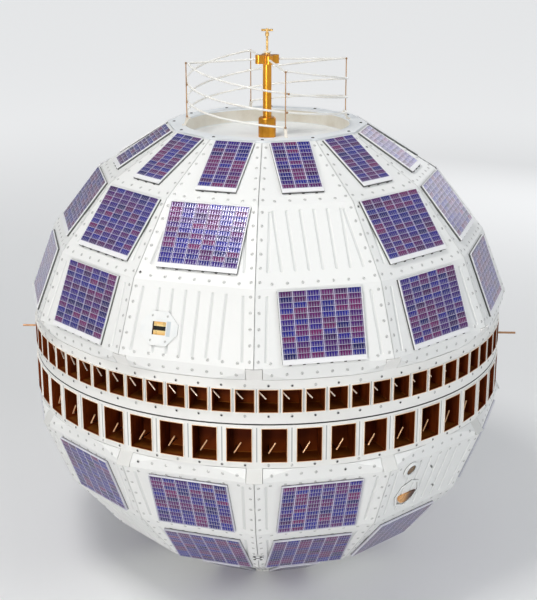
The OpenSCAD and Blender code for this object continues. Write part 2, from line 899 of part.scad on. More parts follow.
module handling_pins() {
    color("peru")
        at_pins()
            translate([0, 0, cavity_r])
                cylinder(d = pin_d, h = face_t + pin_l);
}

// The sealed inner canister, one plain block on a flange that the two belts clamp
module electronics_canister() {
    color("silver")
        at_ball()
            rotate_extrude()
                polygon([
                    [0, -canister_h / 2], [canister_d / 2, -canister_h / 2], [canister_d / 2, -flange_t / 2],
                    [cavity_r - flange_play, -flange_t / 2], [cavity_r - flange_play, flange_t / 2],
                    [canister_d / 2, flange_t / 2], [canister_d / 2, canister_h / 2], [0, canister_h / 2]
                ]);
}

for (k = [0 : GORES - 1])
    upper_gore(k);
for (k = [0 : GORES - 1])
    lower_gore(k);
for (r = [0 : 2 * ROWS - 1])
    panel_trays(r);
for (w = [0 : WIRES - 1])
    helix_wire(w);
panel_cells([0 : ROWS - 1]);  // upper_panel_cells
panel_cells([ROWS : 2 * ROWS - 1]);  // lower_panel_cells
upper_belt();
lower_belt();
upper_port_frames();
lower_port_frames();
upper_cavities();
lower_cavities();
upper_probes();
lower_probes();
top_ring();
antenna_well();
mast_base();
mast_tube();
mast_hub();
mast_tip();
helix_supports();
sensor_plates();
sensor_windows();
bottom_ring();
bottom_cover();
handling_pins();
electronics_canister();
seam_fitting();
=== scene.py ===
# %% [markdown]
# # A faceted ball satellite
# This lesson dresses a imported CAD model: a white ball of flat facets with panels of solar cells, two belts
# of antenna ports round its middle, and a wire helix on a gold mast. The CAD model gives every place and
# size. Blender adds the finishes, the fasteners, the single solar cells and the smooth wires.

# %% Load the frame
import json
import math

import bpy
from mathutils import Matrix, Vector


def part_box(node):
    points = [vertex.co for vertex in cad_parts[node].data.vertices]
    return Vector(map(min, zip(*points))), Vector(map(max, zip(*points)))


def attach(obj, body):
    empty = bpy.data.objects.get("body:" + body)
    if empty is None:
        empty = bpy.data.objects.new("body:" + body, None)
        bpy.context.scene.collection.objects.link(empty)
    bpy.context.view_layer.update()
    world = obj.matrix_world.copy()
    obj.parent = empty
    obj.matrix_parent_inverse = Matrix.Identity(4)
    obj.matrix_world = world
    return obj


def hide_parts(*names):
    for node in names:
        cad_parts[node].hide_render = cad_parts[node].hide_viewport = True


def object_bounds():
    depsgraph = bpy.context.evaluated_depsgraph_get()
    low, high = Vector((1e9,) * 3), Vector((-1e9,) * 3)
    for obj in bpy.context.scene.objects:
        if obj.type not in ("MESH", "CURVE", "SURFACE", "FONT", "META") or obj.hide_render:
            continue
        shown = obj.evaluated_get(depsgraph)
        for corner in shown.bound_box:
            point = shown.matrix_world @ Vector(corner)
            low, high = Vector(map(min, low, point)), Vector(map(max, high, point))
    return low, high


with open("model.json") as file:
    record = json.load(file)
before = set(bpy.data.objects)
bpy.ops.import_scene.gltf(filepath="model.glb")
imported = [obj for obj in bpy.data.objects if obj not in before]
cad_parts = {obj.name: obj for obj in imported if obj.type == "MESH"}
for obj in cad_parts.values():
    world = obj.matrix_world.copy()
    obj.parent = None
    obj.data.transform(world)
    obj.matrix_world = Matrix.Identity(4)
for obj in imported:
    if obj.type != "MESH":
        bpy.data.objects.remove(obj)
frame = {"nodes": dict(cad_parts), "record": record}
cad_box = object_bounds()
nodes = frame["nodes"]
slot_of = {part["node"]: part["material_slot"] for part in frame["record"]["subparts"]}
print("CAD nodes:", len(nodes), "box:", [[round(x, 4) for x in corner] for corner in cad_box])

# %% [markdown]
# ## Camera
# The camera stands where the photograph was taken from: a little above the ball, to the right of its front
# seam, with a long lens. Its place could be set by eye, but these numbers come from a camera fit, so that
# the render can be laid over the photograph. The lens is worked out from the picture's height, because a
# picture that is taller than wide puts the sensor's long side upright.

# %% Camera
CAMERA_DISTANCE = 2.3659
CAMERA_RISE = 0.8415
CAMERA_SIDE = math.radians(2.72)
CAMERA_PITCH = math.radians(18.07)
PICTURE_HEIGHT = 600
LENS_IN_PIXELS = 1294.2
PICTURE_OFFSET = 1.35

ball_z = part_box("top_ring")[1].z / 2
scene = bpy.context.scene
camera = bpy.data.objects.new("camera", bpy.data.cameras.new("camera"))
scene.collection.objects.link(camera)
camera.location = (
    CAMERA_DISTANCE * math.sin(CAMERA_SIDE),
    -CAMERA_DISTANCE * math.cos(CAMERA_SIDE),
    ball_z + CAMERA_RISE,
)
camera.rotation_euler = (math.pi / 2 - CAMERA_PITCH, 0, CAMERA_SIDE)
camera.data.sensor_width = 36
camera.data.lens = LENS_IN_PIXELS / PICTURE_HEIGHT * camera.data.sensor_width
camera.data.shift_x = PICTURE_OFFSET / PICTURE_HEIGHT
camera.data.clip_end = 100
scene.camera = camera
scene.view_settings.view_transform = "Standard"
print("lens:", round(camera.data.lens, 2), "mm, ball centre at", round(ball_z, 4), "m")

# %% [markdown]
# ## Light
# The photograph has one strong lamp at the upper left. Here that is the key lamp. A cooler one on the right
# fills the shadows, a narrow low one reaches the facets that lean under, and one behind keeps the back from
# going dark. A sun lamp would be simpler, but square area lamps give the soft edges of a studio.

# %% Lights
SKY_TINT = (0.94, 0.97, 1.0, 1)
SKY_STRENGTH = 0.38

scene.world = bpy.data.worlds.new("studio")
scene.world.use_nodes = True
sky = scene.world.node_tree.nodes["Background"]
sky.inputs["Color"].default_value = SKY_TINT
sky.inputs["Strength"].default_value = SKY_STRENGTH


def soft_lamp(name, place, target, watts, size, tint, cone=180):
    lamp = bpy.data.lights.new(name, "AREA")
    lamp.shape = "SQUARE"
    lamp.size = size
    lamp.energy = watts
    lamp.color = tint
    lamp.spread = math.radians(cone)
    holder = bpy.data.objects.new(name, lamp)
    scene.collection.objects.link(holder)
    holder.visible_camera = False
    holder.location = place
    holder.rotation_euler = (Vector(target) - Vector(place)).to_track_quat("-Z", "Y").to_euler()


middle = (0, 0, ball_z)
soft_lamp("key", (-0.96, -1.06, 3.42), middle, 47.5, 0.8, (1.0, 0.985, 0.96))
soft_lamp("fill", (2.5, -1.35, 1.85), middle, 22, 1.4, (0.95, 0.975, 1.0))
soft_lamp("low_front", (-1.0, -3.1, 0.60), (0, 0, 0.42), 5.5, 0.8, (1.0, 0.97, 0.92), 75)
soft_lamp("back", (1.2, 2.9, 1.5), middle, 14, 1.8, (1.0, 1.0, 1.0))

# %% [markdown]
# ## The ball's own measures
# The real ball is made of twelve gores above and twelve below, each folded into three flat facets. Every
# loose piece, such as a screw or a solar cell, is placed in the frame of one facet: out of it, across it
# and up it. The places could be typed in one by one, but the folds lie on a circle, so a few numbers give
# them all.

# %% Facets
GORES = 12
FACETS = 3
HALF_GORE = math.pi / GORES
GORE_TURN = 2 * HALF_GORE
FRONT = -math.pi / 2
SHOULDER_R = 0.4363
SHOULDER_Z = 0.0996
FOLD_STEP = math.radians(18.8)
RING_FLAT_R = 0.1765

fold_r = math.hypot(SHOULDER_R, SHOULDER_Z)
ring_lat = math.acos(RING_FLAT_R / fold_r)
folds = [(SHOULDER_R, SHOULDER_Z)]
for n in reversed(range(FACETS)):
    lat = ring_lat - n * FOLD_STEP
    folds.append((fold_r * math.cos(lat), fold_r * math.sin(lat)))


def lean(low, high):
    """How far a surface between two folds leans in."""
    return math.atan2(low[0] - high[0], high[1] - low[1])


facet_len = [math.dist(folds[i], folds[i + 1]) for i in range(FACETS)]
facet_tilt = [lean(folds[i], folds[i + 1]) for i in range(FACETS)]
print("facet lengths:", [round(x, 4) for x in facet_len])


# %% Places on the ball
def gore_azimuth(k):
    return FRONT + HALF_GORE + k * GORE_TURN


def half_width(i, up):
    return (folds[i][0] - up * math.sin(facet_tilt[i])) * math.tan(HALF_GORE)


def leaning_place(azimuth, fold, tilt=0.0, lower=False, across=0.0, up=0.0, out=0.0):
    """A point on a leaning surface above a fold, with the surface's outward and upward directions."""
    flip = -1 if lower else 1
    turn = Matrix.Rotation(azimuth, 3, "Z")
    outward = turn @ Vector((math.cos(tilt), 0, flip * math.sin(tilt)))
    along = turn @ Vector((-math.sin(tilt), 0, flip * math.cos(tilt)))
    sideways = turn @ Vector((0, 1, 0))
    foot = turn @ Vector((fold[0], 0, flip * fold[1])) + Vector((0, 0, ball_z))
    return foot + across * sideways + up * along + out * outward, outward, flip * along


def on_facet(k, i, lower, across, up, out=0.0):
    """A place on facet i of gore k."""
    return leaning_place(gore_azimuth(k), folds[i], facet_tilt[i], lower, across, up, out)


def on_ridge(seam, i, lower, across, up, out=0.0):
    """A place beside the ridge between two gores."""
    low, high = [(folds[n][0] / math.cos(HALF_GORE), folds[n][1]) for n in (i, i + 1)]
    return leaning_place(FRONT + seam * GORE_TURN, low, lean(low, high), lower, across, up, out)


print("first facet's middle:", [round(x, 4) for x in on_facet(0, 0, False, 0, facet_len[0] / 2)[0]])

# %% [markdown]
# ## Formulas from nodes
# Finishes and repeated pieces are node trees here, and most of them are small formulas: a colour follows
# from a distance, and the distance from coordinates. The nodes could be set out by hand in the editor. In a
# script it is shorter to wrap each socket as a signal, so that a sum of two sockets is written with a plus
# sign.

# %% Signals
def arithmetic(operation, swapped=False):
    """A method that makes a Math node from a signal and another value."""
    def method(self, other=0.0):
        return work(operation, other, self) if swapped else work(operation, self, other)
    return method


class Signal:
    """A socket of a node tree. Sums and products of signals become Math nodes."""
    __add__ = arithmetic("ADD")
    __sub__ = arithmetic("SUBTRACT")
    __rsub__ = arithmetic("SUBTRACT", swapped=True)
    __mul__ = arithmetic("MULTIPLY")
    __truediv__ = arithmetic("DIVIDE")
    __rtruediv__ = arithmetic("DIVIDE", swapped=True)
    __pow__ = arithmetic("POWER")
    __abs__ = arithmetic("ABSOLUTE")

    def __init__(self, tree, socket):
        self.tree = tree
        self.socket = socket


def feed(value, target):
    """Links a signal to a socket, or writes a plain value into it."""
    if isinstance(value, Signal):
        value.tree.links.new(value.socket, target)
    elif target.type == "RGBA":
        target.default_value = (*value, 1)
    else:
        target.default_value = value


def pick(sockets, name=None):
    """The first socket in use, of a given name if any. Some nodes have one socket for each data type."""
    return next(s for s in sockets if s.enabled and name in (None, s.name))


def work(operation, a, b=0.0, kind="ShaderNodeMath"):
    """A node that works on two values, at least one of them a signal."""
    tree = a.tree if isinstance(a, Signal) else b.tree
    made = tree.nodes.new(kind)
    made.operation = operation
    feed(a, made.inputs[0])
    feed(b, made.inputs[1])
    return Signal(tree, pick(made.outputs))


def vector_work(operation, a, b=(0, 0, 0)):
    return work(operation, a, b, "ShaderNodeVectorMath")


def make_node(tree, kind, inputs, output=None, **settings):
    """Adds a node, sets and feeds it, and gives an output as a signal: the first, if none is named."""
    made = tree.nodes.new(kind)
    for setting, value in settings.items():
        setattr(made, setting, value)
    for label, value in inputs.items():
        feed(value, pick(made.inputs, label))
    return Signal(tree, pick(made.outputs, output))


print("signals: + - * / ** abs")


# %% Parts of formulas
NOISE_ROUGHNESS = 0.55


def larger(a, b):
    return work("MAXIMUM", a, b)


def capped_sum(a, b):
    total = a + b
    total.socket.node.use_clamp = True
    return total


def spread(value, low, high, to_low=0.0, to_high=1.0):
    """Maps one range smoothly onto another."""
    ends = {"From Min": low, "From Max": high, "To Min": to_low, "To Max": to_high}
    inputs = {"Value": value, **ends}
    return make_node(value.tree, "ShaderNodeMapRange", inputs, interpolation_type="SMOOTHSTEP")


def fade(value, low, high, strength=1.0):
    """Full strength below a range, and none above it."""
    return spread(value, low, high, strength, 0.0)


def blend(factor, a, b):
    """The colour a, going over to b with the factor."""
    tree = factor.tree if isinstance(factor, Signal) else a.tree
    return make_node(tree, "ShaderNodeMix", {"Factor": factor, "A": a, "B": b}, data_type="RGBA")


def noise(place, scale, detail=4):
    grain = {"Vector": place, "Scale": scale, "Detail": detail, "Roughness": NOISE_ROUGHNESS}
    return make_node(place.tree, "ShaderNodeTexNoise", grain)


def object_place(tree):
    return make_node(tree, "ShaderNodeTexCoord", {}, "Object")


def axes(vector):
    """The three numbers of a vector."""
    made = vector.tree.nodes.new("ShaderNodeSeparateXYZ")
    feed(vector, made.inputs[0])
    return [Signal(vector.tree, s) for s in made.outputs]


def from_axis(x, y):
    return work("SQRT", x ** 2.0 + y ** 2.0)


def round_place(tree):
    """A point's distance from the ball's axis, its angle round the axis, and its height."""
    x, y, z = axes(object_place(tree))
    return from_axis(x, y), work("ARCTAN2", y, x), z


def from_nearest(angle, first):
    """How far an angle lies from the nearest of twelve even ones, such as the seams, given the first."""
    turned = (angle - first) / GORE_TURN
    return (turned - work("ROUND", turned)) * GORE_TURN


def height_of(tree):
    return axes(object_place(tree))[2]


def from_split(tree):
    """How far a point lies above or below the line between the belts."""
    return abs(height_of(tree) - ball_z)


print("formulas for shaders and shapes are ready")

# %% [markdown]
# ## Shared effects
# Some effects come back in several finishes, so each is a shader node group with named inputs: paint that
# is mottled and a little dusty, metal with fine streaks, and the grey line of dirt that gathers along
# seams. Three more only measure: where a point lies in its antenna port, how far it stands above a facet,
# and where it lies beside a place on a facet. Copies of the nodes in each material would do too, but a
# group is changed once for all. They read Object coordinates, because every piece sits at the origin with
# its place in its mesh.

# %% Group helpers
def socket_kind(value):
    if isinstance(value, int):
        return "NodeSocketInt"
    if isinstance(value, float):
        return "NodeSocketFloat"
    return "NodeSocketColor" if len(value) == 4 else "NodeSocketVector"


def add_inputs(group, inputs):
    """Gives a node group its inputs with their defaults, and returns them as signals."""
    for label, value in inputs.items():
        made = group.interface.new_socket(label, in_out="INPUT", socket_type=socket_kind(value))
        made.default_value = value
    return {s.name: Signal(group, s) for s in group.nodes.new("NodeGroupInput").outputs}


def shader_group(name, inputs):
    group = bpy.data.node_groups.new(name, "ShaderNodeTree")
    return group, add_inputs(group, inputs)


def close_group(group, results):
    """Gives a shader group its outputs."""
    for label, signal in results.items():
        kind = "NodeSocketColor" if signal.socket.type == "RGBA" else "NodeSocketFloat"
        group.interface.new_socket(label, in_out="OUTPUT", socket_type=kind)
    out = group.nodes.new("NodeGroupOutput")
    for label, signal in results.items():
        feed(signal, out.inputs[label])
    print("group:", group.name, list(results))


print("groups before the first:", len(bpy.data.node_groups))

# %% Mottled paint
SPECK_FINENESS = 40.0
paint, given = shader_group("mottled_paint", {
    "Paint": (0.86, 0.86, 0.84, 1), "Dust": (0.7, 0.7, 0.68, 1), "Scale": 6.0, "Dust Amount": 0.3,
    "Roughness": 0.45})
place = object_place(paint)
clouds = noise(place, given["Scale"])
specks = noise(place, given["Scale"] * SPECK_FINENESS, 3)
dusty = spread(clouds, 0.42, 0.75) * given["Dust Amount"]
specked = spread(specks, 0.62, 0.8) * given["Dust Amount"]
dirt = capped_sum(dusty, specked)
close_group(paint, {
    "Colour": blend(dirt, given["Paint"], given["Dust"]),
    "Roughness": given["Roughness"] + spread(specks, 0.3, 0.7, -0.06, 0.1),
    "Height": specks + clouds,
})

# %% Streaked metal
STREAK_FINENESS = 12.0
STREAK_SHARE = 0.35
metal, given = shader_group("streaked_metal", {
    "Metal": (0.7, 0.45, 0.15, 1), "Tarnish": (0.4, 0.2, 0.06, 1), "Scale": 30.0, "Stretch": (1.0, 1.0, 0.05),
    "Tarnish Amount": 0.5, "Roughness": 0.35})
place = object_place(metal)
streaks = noise(vector_work("MULTIPLY", place, given["Stretch"]), given["Scale"] * STREAK_FINENESS)
patches = noise(place, given["Scale"], 5)
worn = spread(patches, 0.35, 0.7) * given["Tarnish Amount"]
lined = spread(streaks, 0.4, 0.75) * STREAK_SHARE
tarnished = capped_sum(worn, lined)
close_group(metal, {
    "Colour": blend(tarnished, given["Metal"], given["Tarnish"]),
    "Roughness": given["Roughness"] + spread(patches, 0.3, 0.75, -0.08, 0.15),
    "Height": streaks,
})

# %% Seam grime
GRIME_SCALE = 45.0
seams, given = shader_group("seam_grime", {"Width": 0.006, "Strength": 0.6})
radius, around, _ = round_place(seams)
from_seam = abs(from_nearest(around, FRONT)) * radius
ragged = given["Width"] * spread(noise(object_place(seams), GRIME_SCALE, 5), 0.25, 0.75, 0.3, 1.5)
close_group(seams, {"Mask": fade(from_seam, 0.0, ragged) * given["Strength"]})

# %% Place in a port
PORT_TURN = math.radians(0.5)
ports, given = shader_group("port_place", {"Ports": 72.0, "Middle": 0.45, "Width": 0.03, "Height": 0.038})
radius, around, z = round_place(ports)
step = 2 * math.pi / given["Ports"]
turned = work("FRACT", (around - (FRONT + PORT_TURN)) / step)
angle = abs(turned - 0.5) * step
beside = angle * radius - given["Width"] * 0.5
risen = z - given["Middle"]
half_height = given["Height"] * 0.5
over_or_under = abs(risen) - half_height
from_joint = (step * 0.5 - angle) * radius
close_group(ports, {
    "Outside": larger(beside, over_or_under),
    "Above Floor": risen + half_height,
    "Joint": fade(from_joint, 0.0006, 0.0012) * fade(over_or_under, 0.0005, 0.0025),
    "Radius": radius,
})

# %% Height above a facet
rises, given = shader_group("facet_rise", {"Cosine": 1.0, "Sine": 0.0, "Facet": 0.4})
radius, around, z = round_place(rises)
depth = radius * work("COSINE", from_nearest(around, FRONT + HALF_GORE))
outward = depth * given["Cosine"] + abs(z - ball_z) * given["Sine"]
close_group(rises, {"Rise": outward - given["Facet"]})

# %% Place on a facet
facets, given = shader_group("facet_place", {"Middle": (0, 0, 0), "Across": (1, 0, 0), "Along": (0, 0, 1)})
shifted = vector_work("SUBTRACT", object_place(facets), given["Middle"])
close_group(facets, {
    "Across": vector_work("DOT_PRODUCT", shifted, given["Across"]),
    "Along": vector_work("DOT_PRODUCT", shifted, given["Along"]),
    "Distance": vector_work("LENGTH", shifted),
})

# %% [markdown]
# ## Painted skin
# The ball is satin white paint on sheet metal, and its end ring is a cooler white. A plain white would look
# like plastic, so each finish takes the paint group, which is dusty in patches, and a little bump, so that
# lamps glide over it unevenly. The skin is greyer down in its pressed grooves, which is painted shade, and
# along its seams.

# %% Finish helpers
PAINT_BUMP = (0.12, 0.0006)
METAL_BUMP = (0.2, 0.0004)
finish = {}


def new_finish(name):
    """Adds a material to the table of finishes, and gives its tree and its shader."""
    made = bpy.data.materials.new(name)
    made.use_nodes = True
    finish[name] = made
    return made.node_tree, made.node_tree.nodes["Principled BSDF"]


def placed(tree, group, values):
    """Puts a group into a tree, and gives its outputs as signals."""
    made = tree.nodes.new("ShaderNodeGroup")
    made.node_tree = group
    for label, value in values.items():
        feed(value, made.inputs[label])
    return {s.name: Signal(tree, s) for s in made.outputs}


def white_coat(tree, colour, dust, scale, amount, roughness):
    return placed(tree, paint, {
        "Paint": colour, "Dust": dust, "Scale": scale, "Dust Amount": amount, "Roughness": roughness})


def metal_coat(tree, colour, tarnish, scale, amount, roughness, stretch=(1, 1, 0.05)):
    return placed(tree, metal, {
        "Metal": colour, "Tarnish": tarnish, "Scale": scale, "Stretch": stretch, "Tarnish Amount": amount,
        "Roughness": roughness})


def bump(height, shader, strength, depth):
    pressed = {"Strength": strength, "Distance": depth, "Height": height}
    feed(make_node(height.tree, "ShaderNodeBump", pressed), shader.inputs["Normal"])


def coated(shader, coat, tone, pressed=PAINT_BUMP, metallic=0.0):
    """Joins a tone, a coat's roughness and bump, and a share of metal to the shader."""
    feed(tone, shader.inputs["Base Color"])
    feed(coat["Roughness"], shader.inputs["Roughness"])
    feed(metallic, shader.inputs["Metallic"])
    bump(coat["Height"], shader, *pressed)


def rise_over(tree, i):
    """Height of a point above the plane of facet i."""
    cosine, sine = math.cos(facet_tilt[i]), math.sin(facet_tilt[i])
    level = folds[i][0] * cosine + folds[i][1] * sine
    return placed(tree, rises, {"Cosine": cosine, "Sine": sine, "Facet": level})["Rise"]


print("groups to draw on:", [g.name for g in bpy.data.node_groups])

# %% Painted finishes
GROOVE_SHADE_GREY = (0.48, 0.50, 0.50)
GRIME_GREY = (0.42, 0.43, 0.42)

tree, shader = new_finish("skin_white")
coat = white_coat(tree, (0.85, 0.855, 0.845), (0.77, 0.775, 0.765), 5.0, 0.35, 0.42)
on_facets = spread(from_split(tree), SHOULDER_Z + 0.004, SHOULDER_Z + 0.006)
rise = larger(larger(rise_over(tree, 0), rise_over(tree, 1)), rise_over(tree, 2))
# Painted shade: the skin is greyer down in its pressed grooves.
groove_shade = fade(rise, -0.0015, -0.0004, 0.4) * on_facets
tone = blend(groove_shade, coat["Colour"], GROOVE_SHADE_GREY)
dirty = placed(tree, seams, {"Width": 0.0022, "Strength": 0.5})["Mask"]
coated(shader, coat, blend(dirty, tone, GRIME_GREY))


def painted(name, *look):
    tree, shader = new_finish(name)
    coat = white_coat(tree, *look)
    coated(shader, coat, coat["Colour"])


painted("top_ring", (0.83, 0.86, 0.885), (0.70, 0.74, 0.77), 9.0, 0.35, 0.4)
painted("wire_white", (0.88, 0.87, 0.83), (0.72, 0.66, 0.55), 40.0, 0.35, 0.4)
print("painted finishes:", list(finish))

# %% [markdown]
# ## Trays, belts and well
# White trays carry the solar cells. They stand a little off the skin, and a painted shadow line runs round
# their feet. The lower ones have grey walls and rims. Two white belts meet in a black line of painted shade
# round the ball's middle, with a grey joint between each two ports, the lower belt is greyed below its ports
# as painted shade, and the well under the mast is cream with a white floor. Each of these lines could be a
# thin piece of its own. They are drawn from measured heights instead, which adds no meshes.

# %% Tray finishes
TRAY_SHADOW = (0.075, 0.078, 0.075)
EDGE_GREY = (0.44, 0.43, 0.54)


def tray_white(name, i, foot_height, edge_share):
    """Trays on facets i: a painted shadow round the foot, with a share of grey on the walls and the rim."""
    tree, shader = new_finish(name)
    coat = white_coat(tree, (0.86, 0.86, 0.875), (0.74, 0.74, 0.77), 14.0, 0.3, 0.4)
    rise = rise_over(tree, i)
    wall = fade(rise, 0.0034, 0.0038, edge_share)
    rim = spread(rise, 0.0043, 0.0047, 0.0, edge_share)
    tone = blend(larger(wall, rim), coat["Colour"], EDGE_GREY)
    # Painted shadow: dark from the facet up to the foot height.
    coated(shader, coat, blend(fade(rise, foot_height, foot_height + 0.0008), tone, TRAY_SHADOW))


for i in range(FACETS):
    tray_white(f"panel_trays_row_{FACETS - i}", i, 0.0026, 0.0)
    tray_white(f"panel_trays_row_{FACETS + 1 + i}", i, 0.0010, 0.8)
print("tray finishes:", [n for n in finish if "tray" in n])

# %% Belt paint
UPPER_PORTS = {"Ports": 72.0, "Middle": ball_z + 0.0415, "Width": 0.0300, "Height": 0.0380}
LOWER_PORTS = {"Ports": 48.0, "Middle": ball_z - 0.0362, "Width": 0.0405, "Height": 0.0580}
BELT_WHITE = (0.86, 0.855, 0.835)
LOWER_SKIRT_SHADE = (0.72, 0.72, 0.70)
SPLIT_HALF = 0.0011
SPLIT_SHADE_BLACK = (0.02, 0.02, 0.02)
JOINT_GREY = (0.20, 0.225, 0.24)
JOINT_STRENGTH = 0.7


def belt_white(name, port, skirt):
    """White belt, painted shade on the lower one's skirt past its ports, black painted shade at the split,
    grey joints.
    """
    tree, shader = new_finish(name)
    coat = white_coat(tree, BELT_WHITE, (0.74, 0.73, 0.69), 8.0, 0.3, 0.4)
    away = from_split(tree)
    # Beyond the ports the belt takes the skirt colour, which on the lower belt is painted shade.
    tone = blend(spread(away, 0.076, 0.080), coat["Colour"], skirt)
    tone = blend(placed(tree, ports, port)["Joint"] * JOINT_STRENGTH, tone, JOINT_GREY)
    # Painted shade: the belt edges at the split are black, as in the gap between the belts.
    line = fade(away, SPLIT_HALF - 0.0002, SPLIT_HALF + 0.0004)
    coated(shader, coat, blend(line, tone, SPLIT_SHADE_BLACK))


belt_white("upper_belt", UPPER_PORTS, BELT_WHITE)
belt_white("lower_belt", LOWER_PORTS, LOWER_SKIRT_SHADE)
print("belts split at", round(ball_z, 4))

# %% Well paint
WELL_FLOOR_T = 0.003
WELL_BUMP = (0.15, 0.0006)
tree, shader = new_finish("well_cream")
wall = white_coat(tree, (0.80, 0.765, 0.68), (0.56, 0.48, 0.36), 16.0, 0.55, 0.5)
floor_coat = white_coat(tree, (0.87, 0.885, 0.885), (0.76, 0.77, 0.76), 10.0, 0.4, 0.4)
well_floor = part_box("antenna_well")[0].z + WELL_FLOOR_T
on_wall = spread(height_of(tree), well_floor + 0.0005, well_floor + 0.003)
coated(shader, wall, blend(on_wall, floor_coat["Colour"], wall["Colour"]), WELL_BUMP)
print("well floor at", round(well_floor, 4))

# %% [markdown]
# ## Plated metal and ports
# The mast is gold, the pins and probes are copper-coloured, and the ports are lined with dark red-brown
# plating that ends in a tan line at their rims. A plain metallic shader would look like a new coin, so the
# metal group adds streaks and tarnish. In the ports the colour follows from the place: walls, a back with
# painted shade that darkens upwards, a floor painted golden as lit, and painted shade on the lower probes'
# stems deep in the ports. Separate materials on single faces could do this too, but would leave hard edges
# between them.

# %% Plated finishes
CORD_BUMP = (0.4, 0.0004)


def plated(name, colour, tarnish, scale, stretch, amount, roughness, metallic, pressed=METAL_BUMP):
    tree, shader = new_finish(name)
    coat = metal_coat(tree, colour, tarnish, scale, amount, roughness, stretch)
    coated(shader, coat, coat["Colour"], pressed, metallic)


plated("probe_copper", (0.62, 0.34, 0.18), (0.36, 0.17, 0.07), 60.0, (1, 1, 1), 0.5, 0.35, 0.4)
plated("upper_probes", (1.0, 0.86, 0.72), (0.92, 0.66, 0.46), 60.0, (1, 1, 1), 0.3, 0.3, 0.6)
plated("mast_gold", (0.78, 0.36, 0.045), (0.50, 0.20, 0.018), 22.0, (1, 1, 0.05), 0.45, 0.32, 1.0)
plated("canister_metal", (0.70, 0.70, 0.72), (0.5, 0.5, 0.5), 10.0, (1, 1, 0.1), 0.4, 0.4, 0.9)
plated("support_tan", (0.45, 0.26, 0.13), (0.20, 0.11, 0.06), 80.0, (1, 1, 0.4), 0.5, 0.6, 0.0, CORD_BUMP)
plated("clip_black", (0.035, 0.035, 0.035), (0.09, 0.085, 0.08), 90.0, (1, 1, 1), 0.5, 0.5, 0.0)
print("plated finishes:", list(finish)[-6:])

# %% Port finishes
CAVITY_BACK_R = 0.402
PROBE_R = 0.432
WALL_BROWN = (0.26, 0.046, 0.006)
TARNISH_AND_SHADE_BROWN = (0.048, 0.007, 0.002)
LIT_BACK_BROWN = (0.17, 0.034, 0.005)
LIT_FLOOR_BROWN = (0.30, 0.095, 0.015)
EDGE_TAN = (0.78, 0.43, 0.17)
GAP_SHADE_BLACK = (0.012, 0.012, 0.012)


def lined_frames(name, port):
    """White frames whose inner faces carry the ports' plating, with a tan line where it ends."""
    tree, shader = new_finish(name)
    coat = white_coat(tree, (0.88, 0.865, 0.83), (0.78, 0.68, 0.58), 24.0, 0.4, 0.4)
    where = placed(tree, ports, port)
    lining = fade(where["Outside"], 0.0001, 0.0004)
    tone = blend(where["Joint"] * JOINT_STRENGTH, coat["Colour"], JOINT_GREY)
    tone = blend(fade(where["Outside"], 0.0006, 0.0014), tone, EDGE_TAN)
    coated(shader, coat, blend(lining, tone, WALL_BROWN), metallic=lining * 0.7)


def plated_cavities(name, port):
    """Red-brown walls; painted shade darkens the back upwards and blackens the split; painted light gilds the
    floor.
    """
    tree, shader = new_finish(name)
    coat = metal_coat(tree, WALL_BROWN, TARNISH_AND_SHADE_BROWN, 16.0, 0.6, 0.4)
    where = placed(tree, ports, port)
    # Painted light and shade: the back wall is lit low down and darkens upwards.
    back = fade(where["Radius"], CAVITY_BACK_R + 0.001, CAVITY_BACK_R + 0.012, 0.85)
    risen = spread(where["Above Floor"], 0.004, 0.6 * port["Height"])
    tone = blend(back, coat["Colour"], blend(risen, LIT_BACK_BROWN, TARNISH_AND_SHADE_BROWN))
    # Painted light: the floor is golden where light falls on it.
    tone = blend(fade(where["Above Floor"], 0.0004, 0.0022), tone, LIT_FLOOR_BROWN)
    # Painted shade: black in the gap behind the split between the belts.
    tone = blend(fade(from_split(tree), 0.004, 0.0045), tone, GAP_SHADE_BLACK)
    feed(0.06, shader.inputs["Specular IOR Level"])
    coated(shader, coat, tone, METAL_BUMP, 0.45)


for half, port in (("upper", UPPER_PORTS), ("lower", LOWER_PORTS)):
    lined_frames(half + "_port_frames", port)
    plated_cavities(half + "_cavities", port)

tree, shader = new_finish("lower_probes")
coat = metal_coat(tree, (0.92, 0.58, 0.33), (0.72, 0.37, 0.17), 60.0, 0.5, 0.35)
# Painted shade: the stem deep in the port is dark brown.
stem = fade(round_place(tree)[0], PROBE_R - 0.004, PROBE_R - 0.001)
coated(shader, coat, blend(stem, coat["Colour"], TARNISH_AND_SHADE_BROWN), METAL_BUMP, 0.5)
print("port finishes:", [n for n in finish if n.startswith(("upper", "lower"))])

# %% [markdown]
# ## Sensors, ties and tip
# A square sun sensor with a slot between two gold bands, a round one with a dark glass and a scoop with
# foil sit on single facets, and a round fitting with a slot sits astride the front seam. The sensors carry
# painted light and shade: a blue painted reflection on the sun sensor's plate, painted shade down one side
# of its window, painted shadow round the plates' feet, and foil that goes from lit to dark. The cords that
# tie the helix stand on pale feet, and the mast's tip has a pale cap. Their small marks could be cut into
# the meshes. They are drawn in each facet's own directions instead, because they are only a few
# millimetres wide.

# %% Sensor plates and fitting
SUN_AT = (11, 0, False, -0.050, 0.050)
ROUND_AT = (1, 0, True, -0.062, 0.017)
SCOOP_AT = (1, 0, True, -0.044, 0.080)
FITTING_UP = 0.100
FITTING_R = 0.010
REFLECTION_BLUE = (0.50, 0.57, 0.62)
MARK_AND_SHADE_BLACK = (0.03, 0.03, 0.03)


def beside_place(tree, at):
    """Where a point lies beside a place on the ball: across, along, and how far away."""
    middle, outward, upward = at
    return placed(tree, facets, {"Middle": middle, "Across": upward.cross(outward), "Along": upward})


def plate_coat(tree):
    return white_coat(tree, (0.85, 0.86, 0.855), (0.64, 0.69, 0.71), 20.0, 0.5, 0.35)


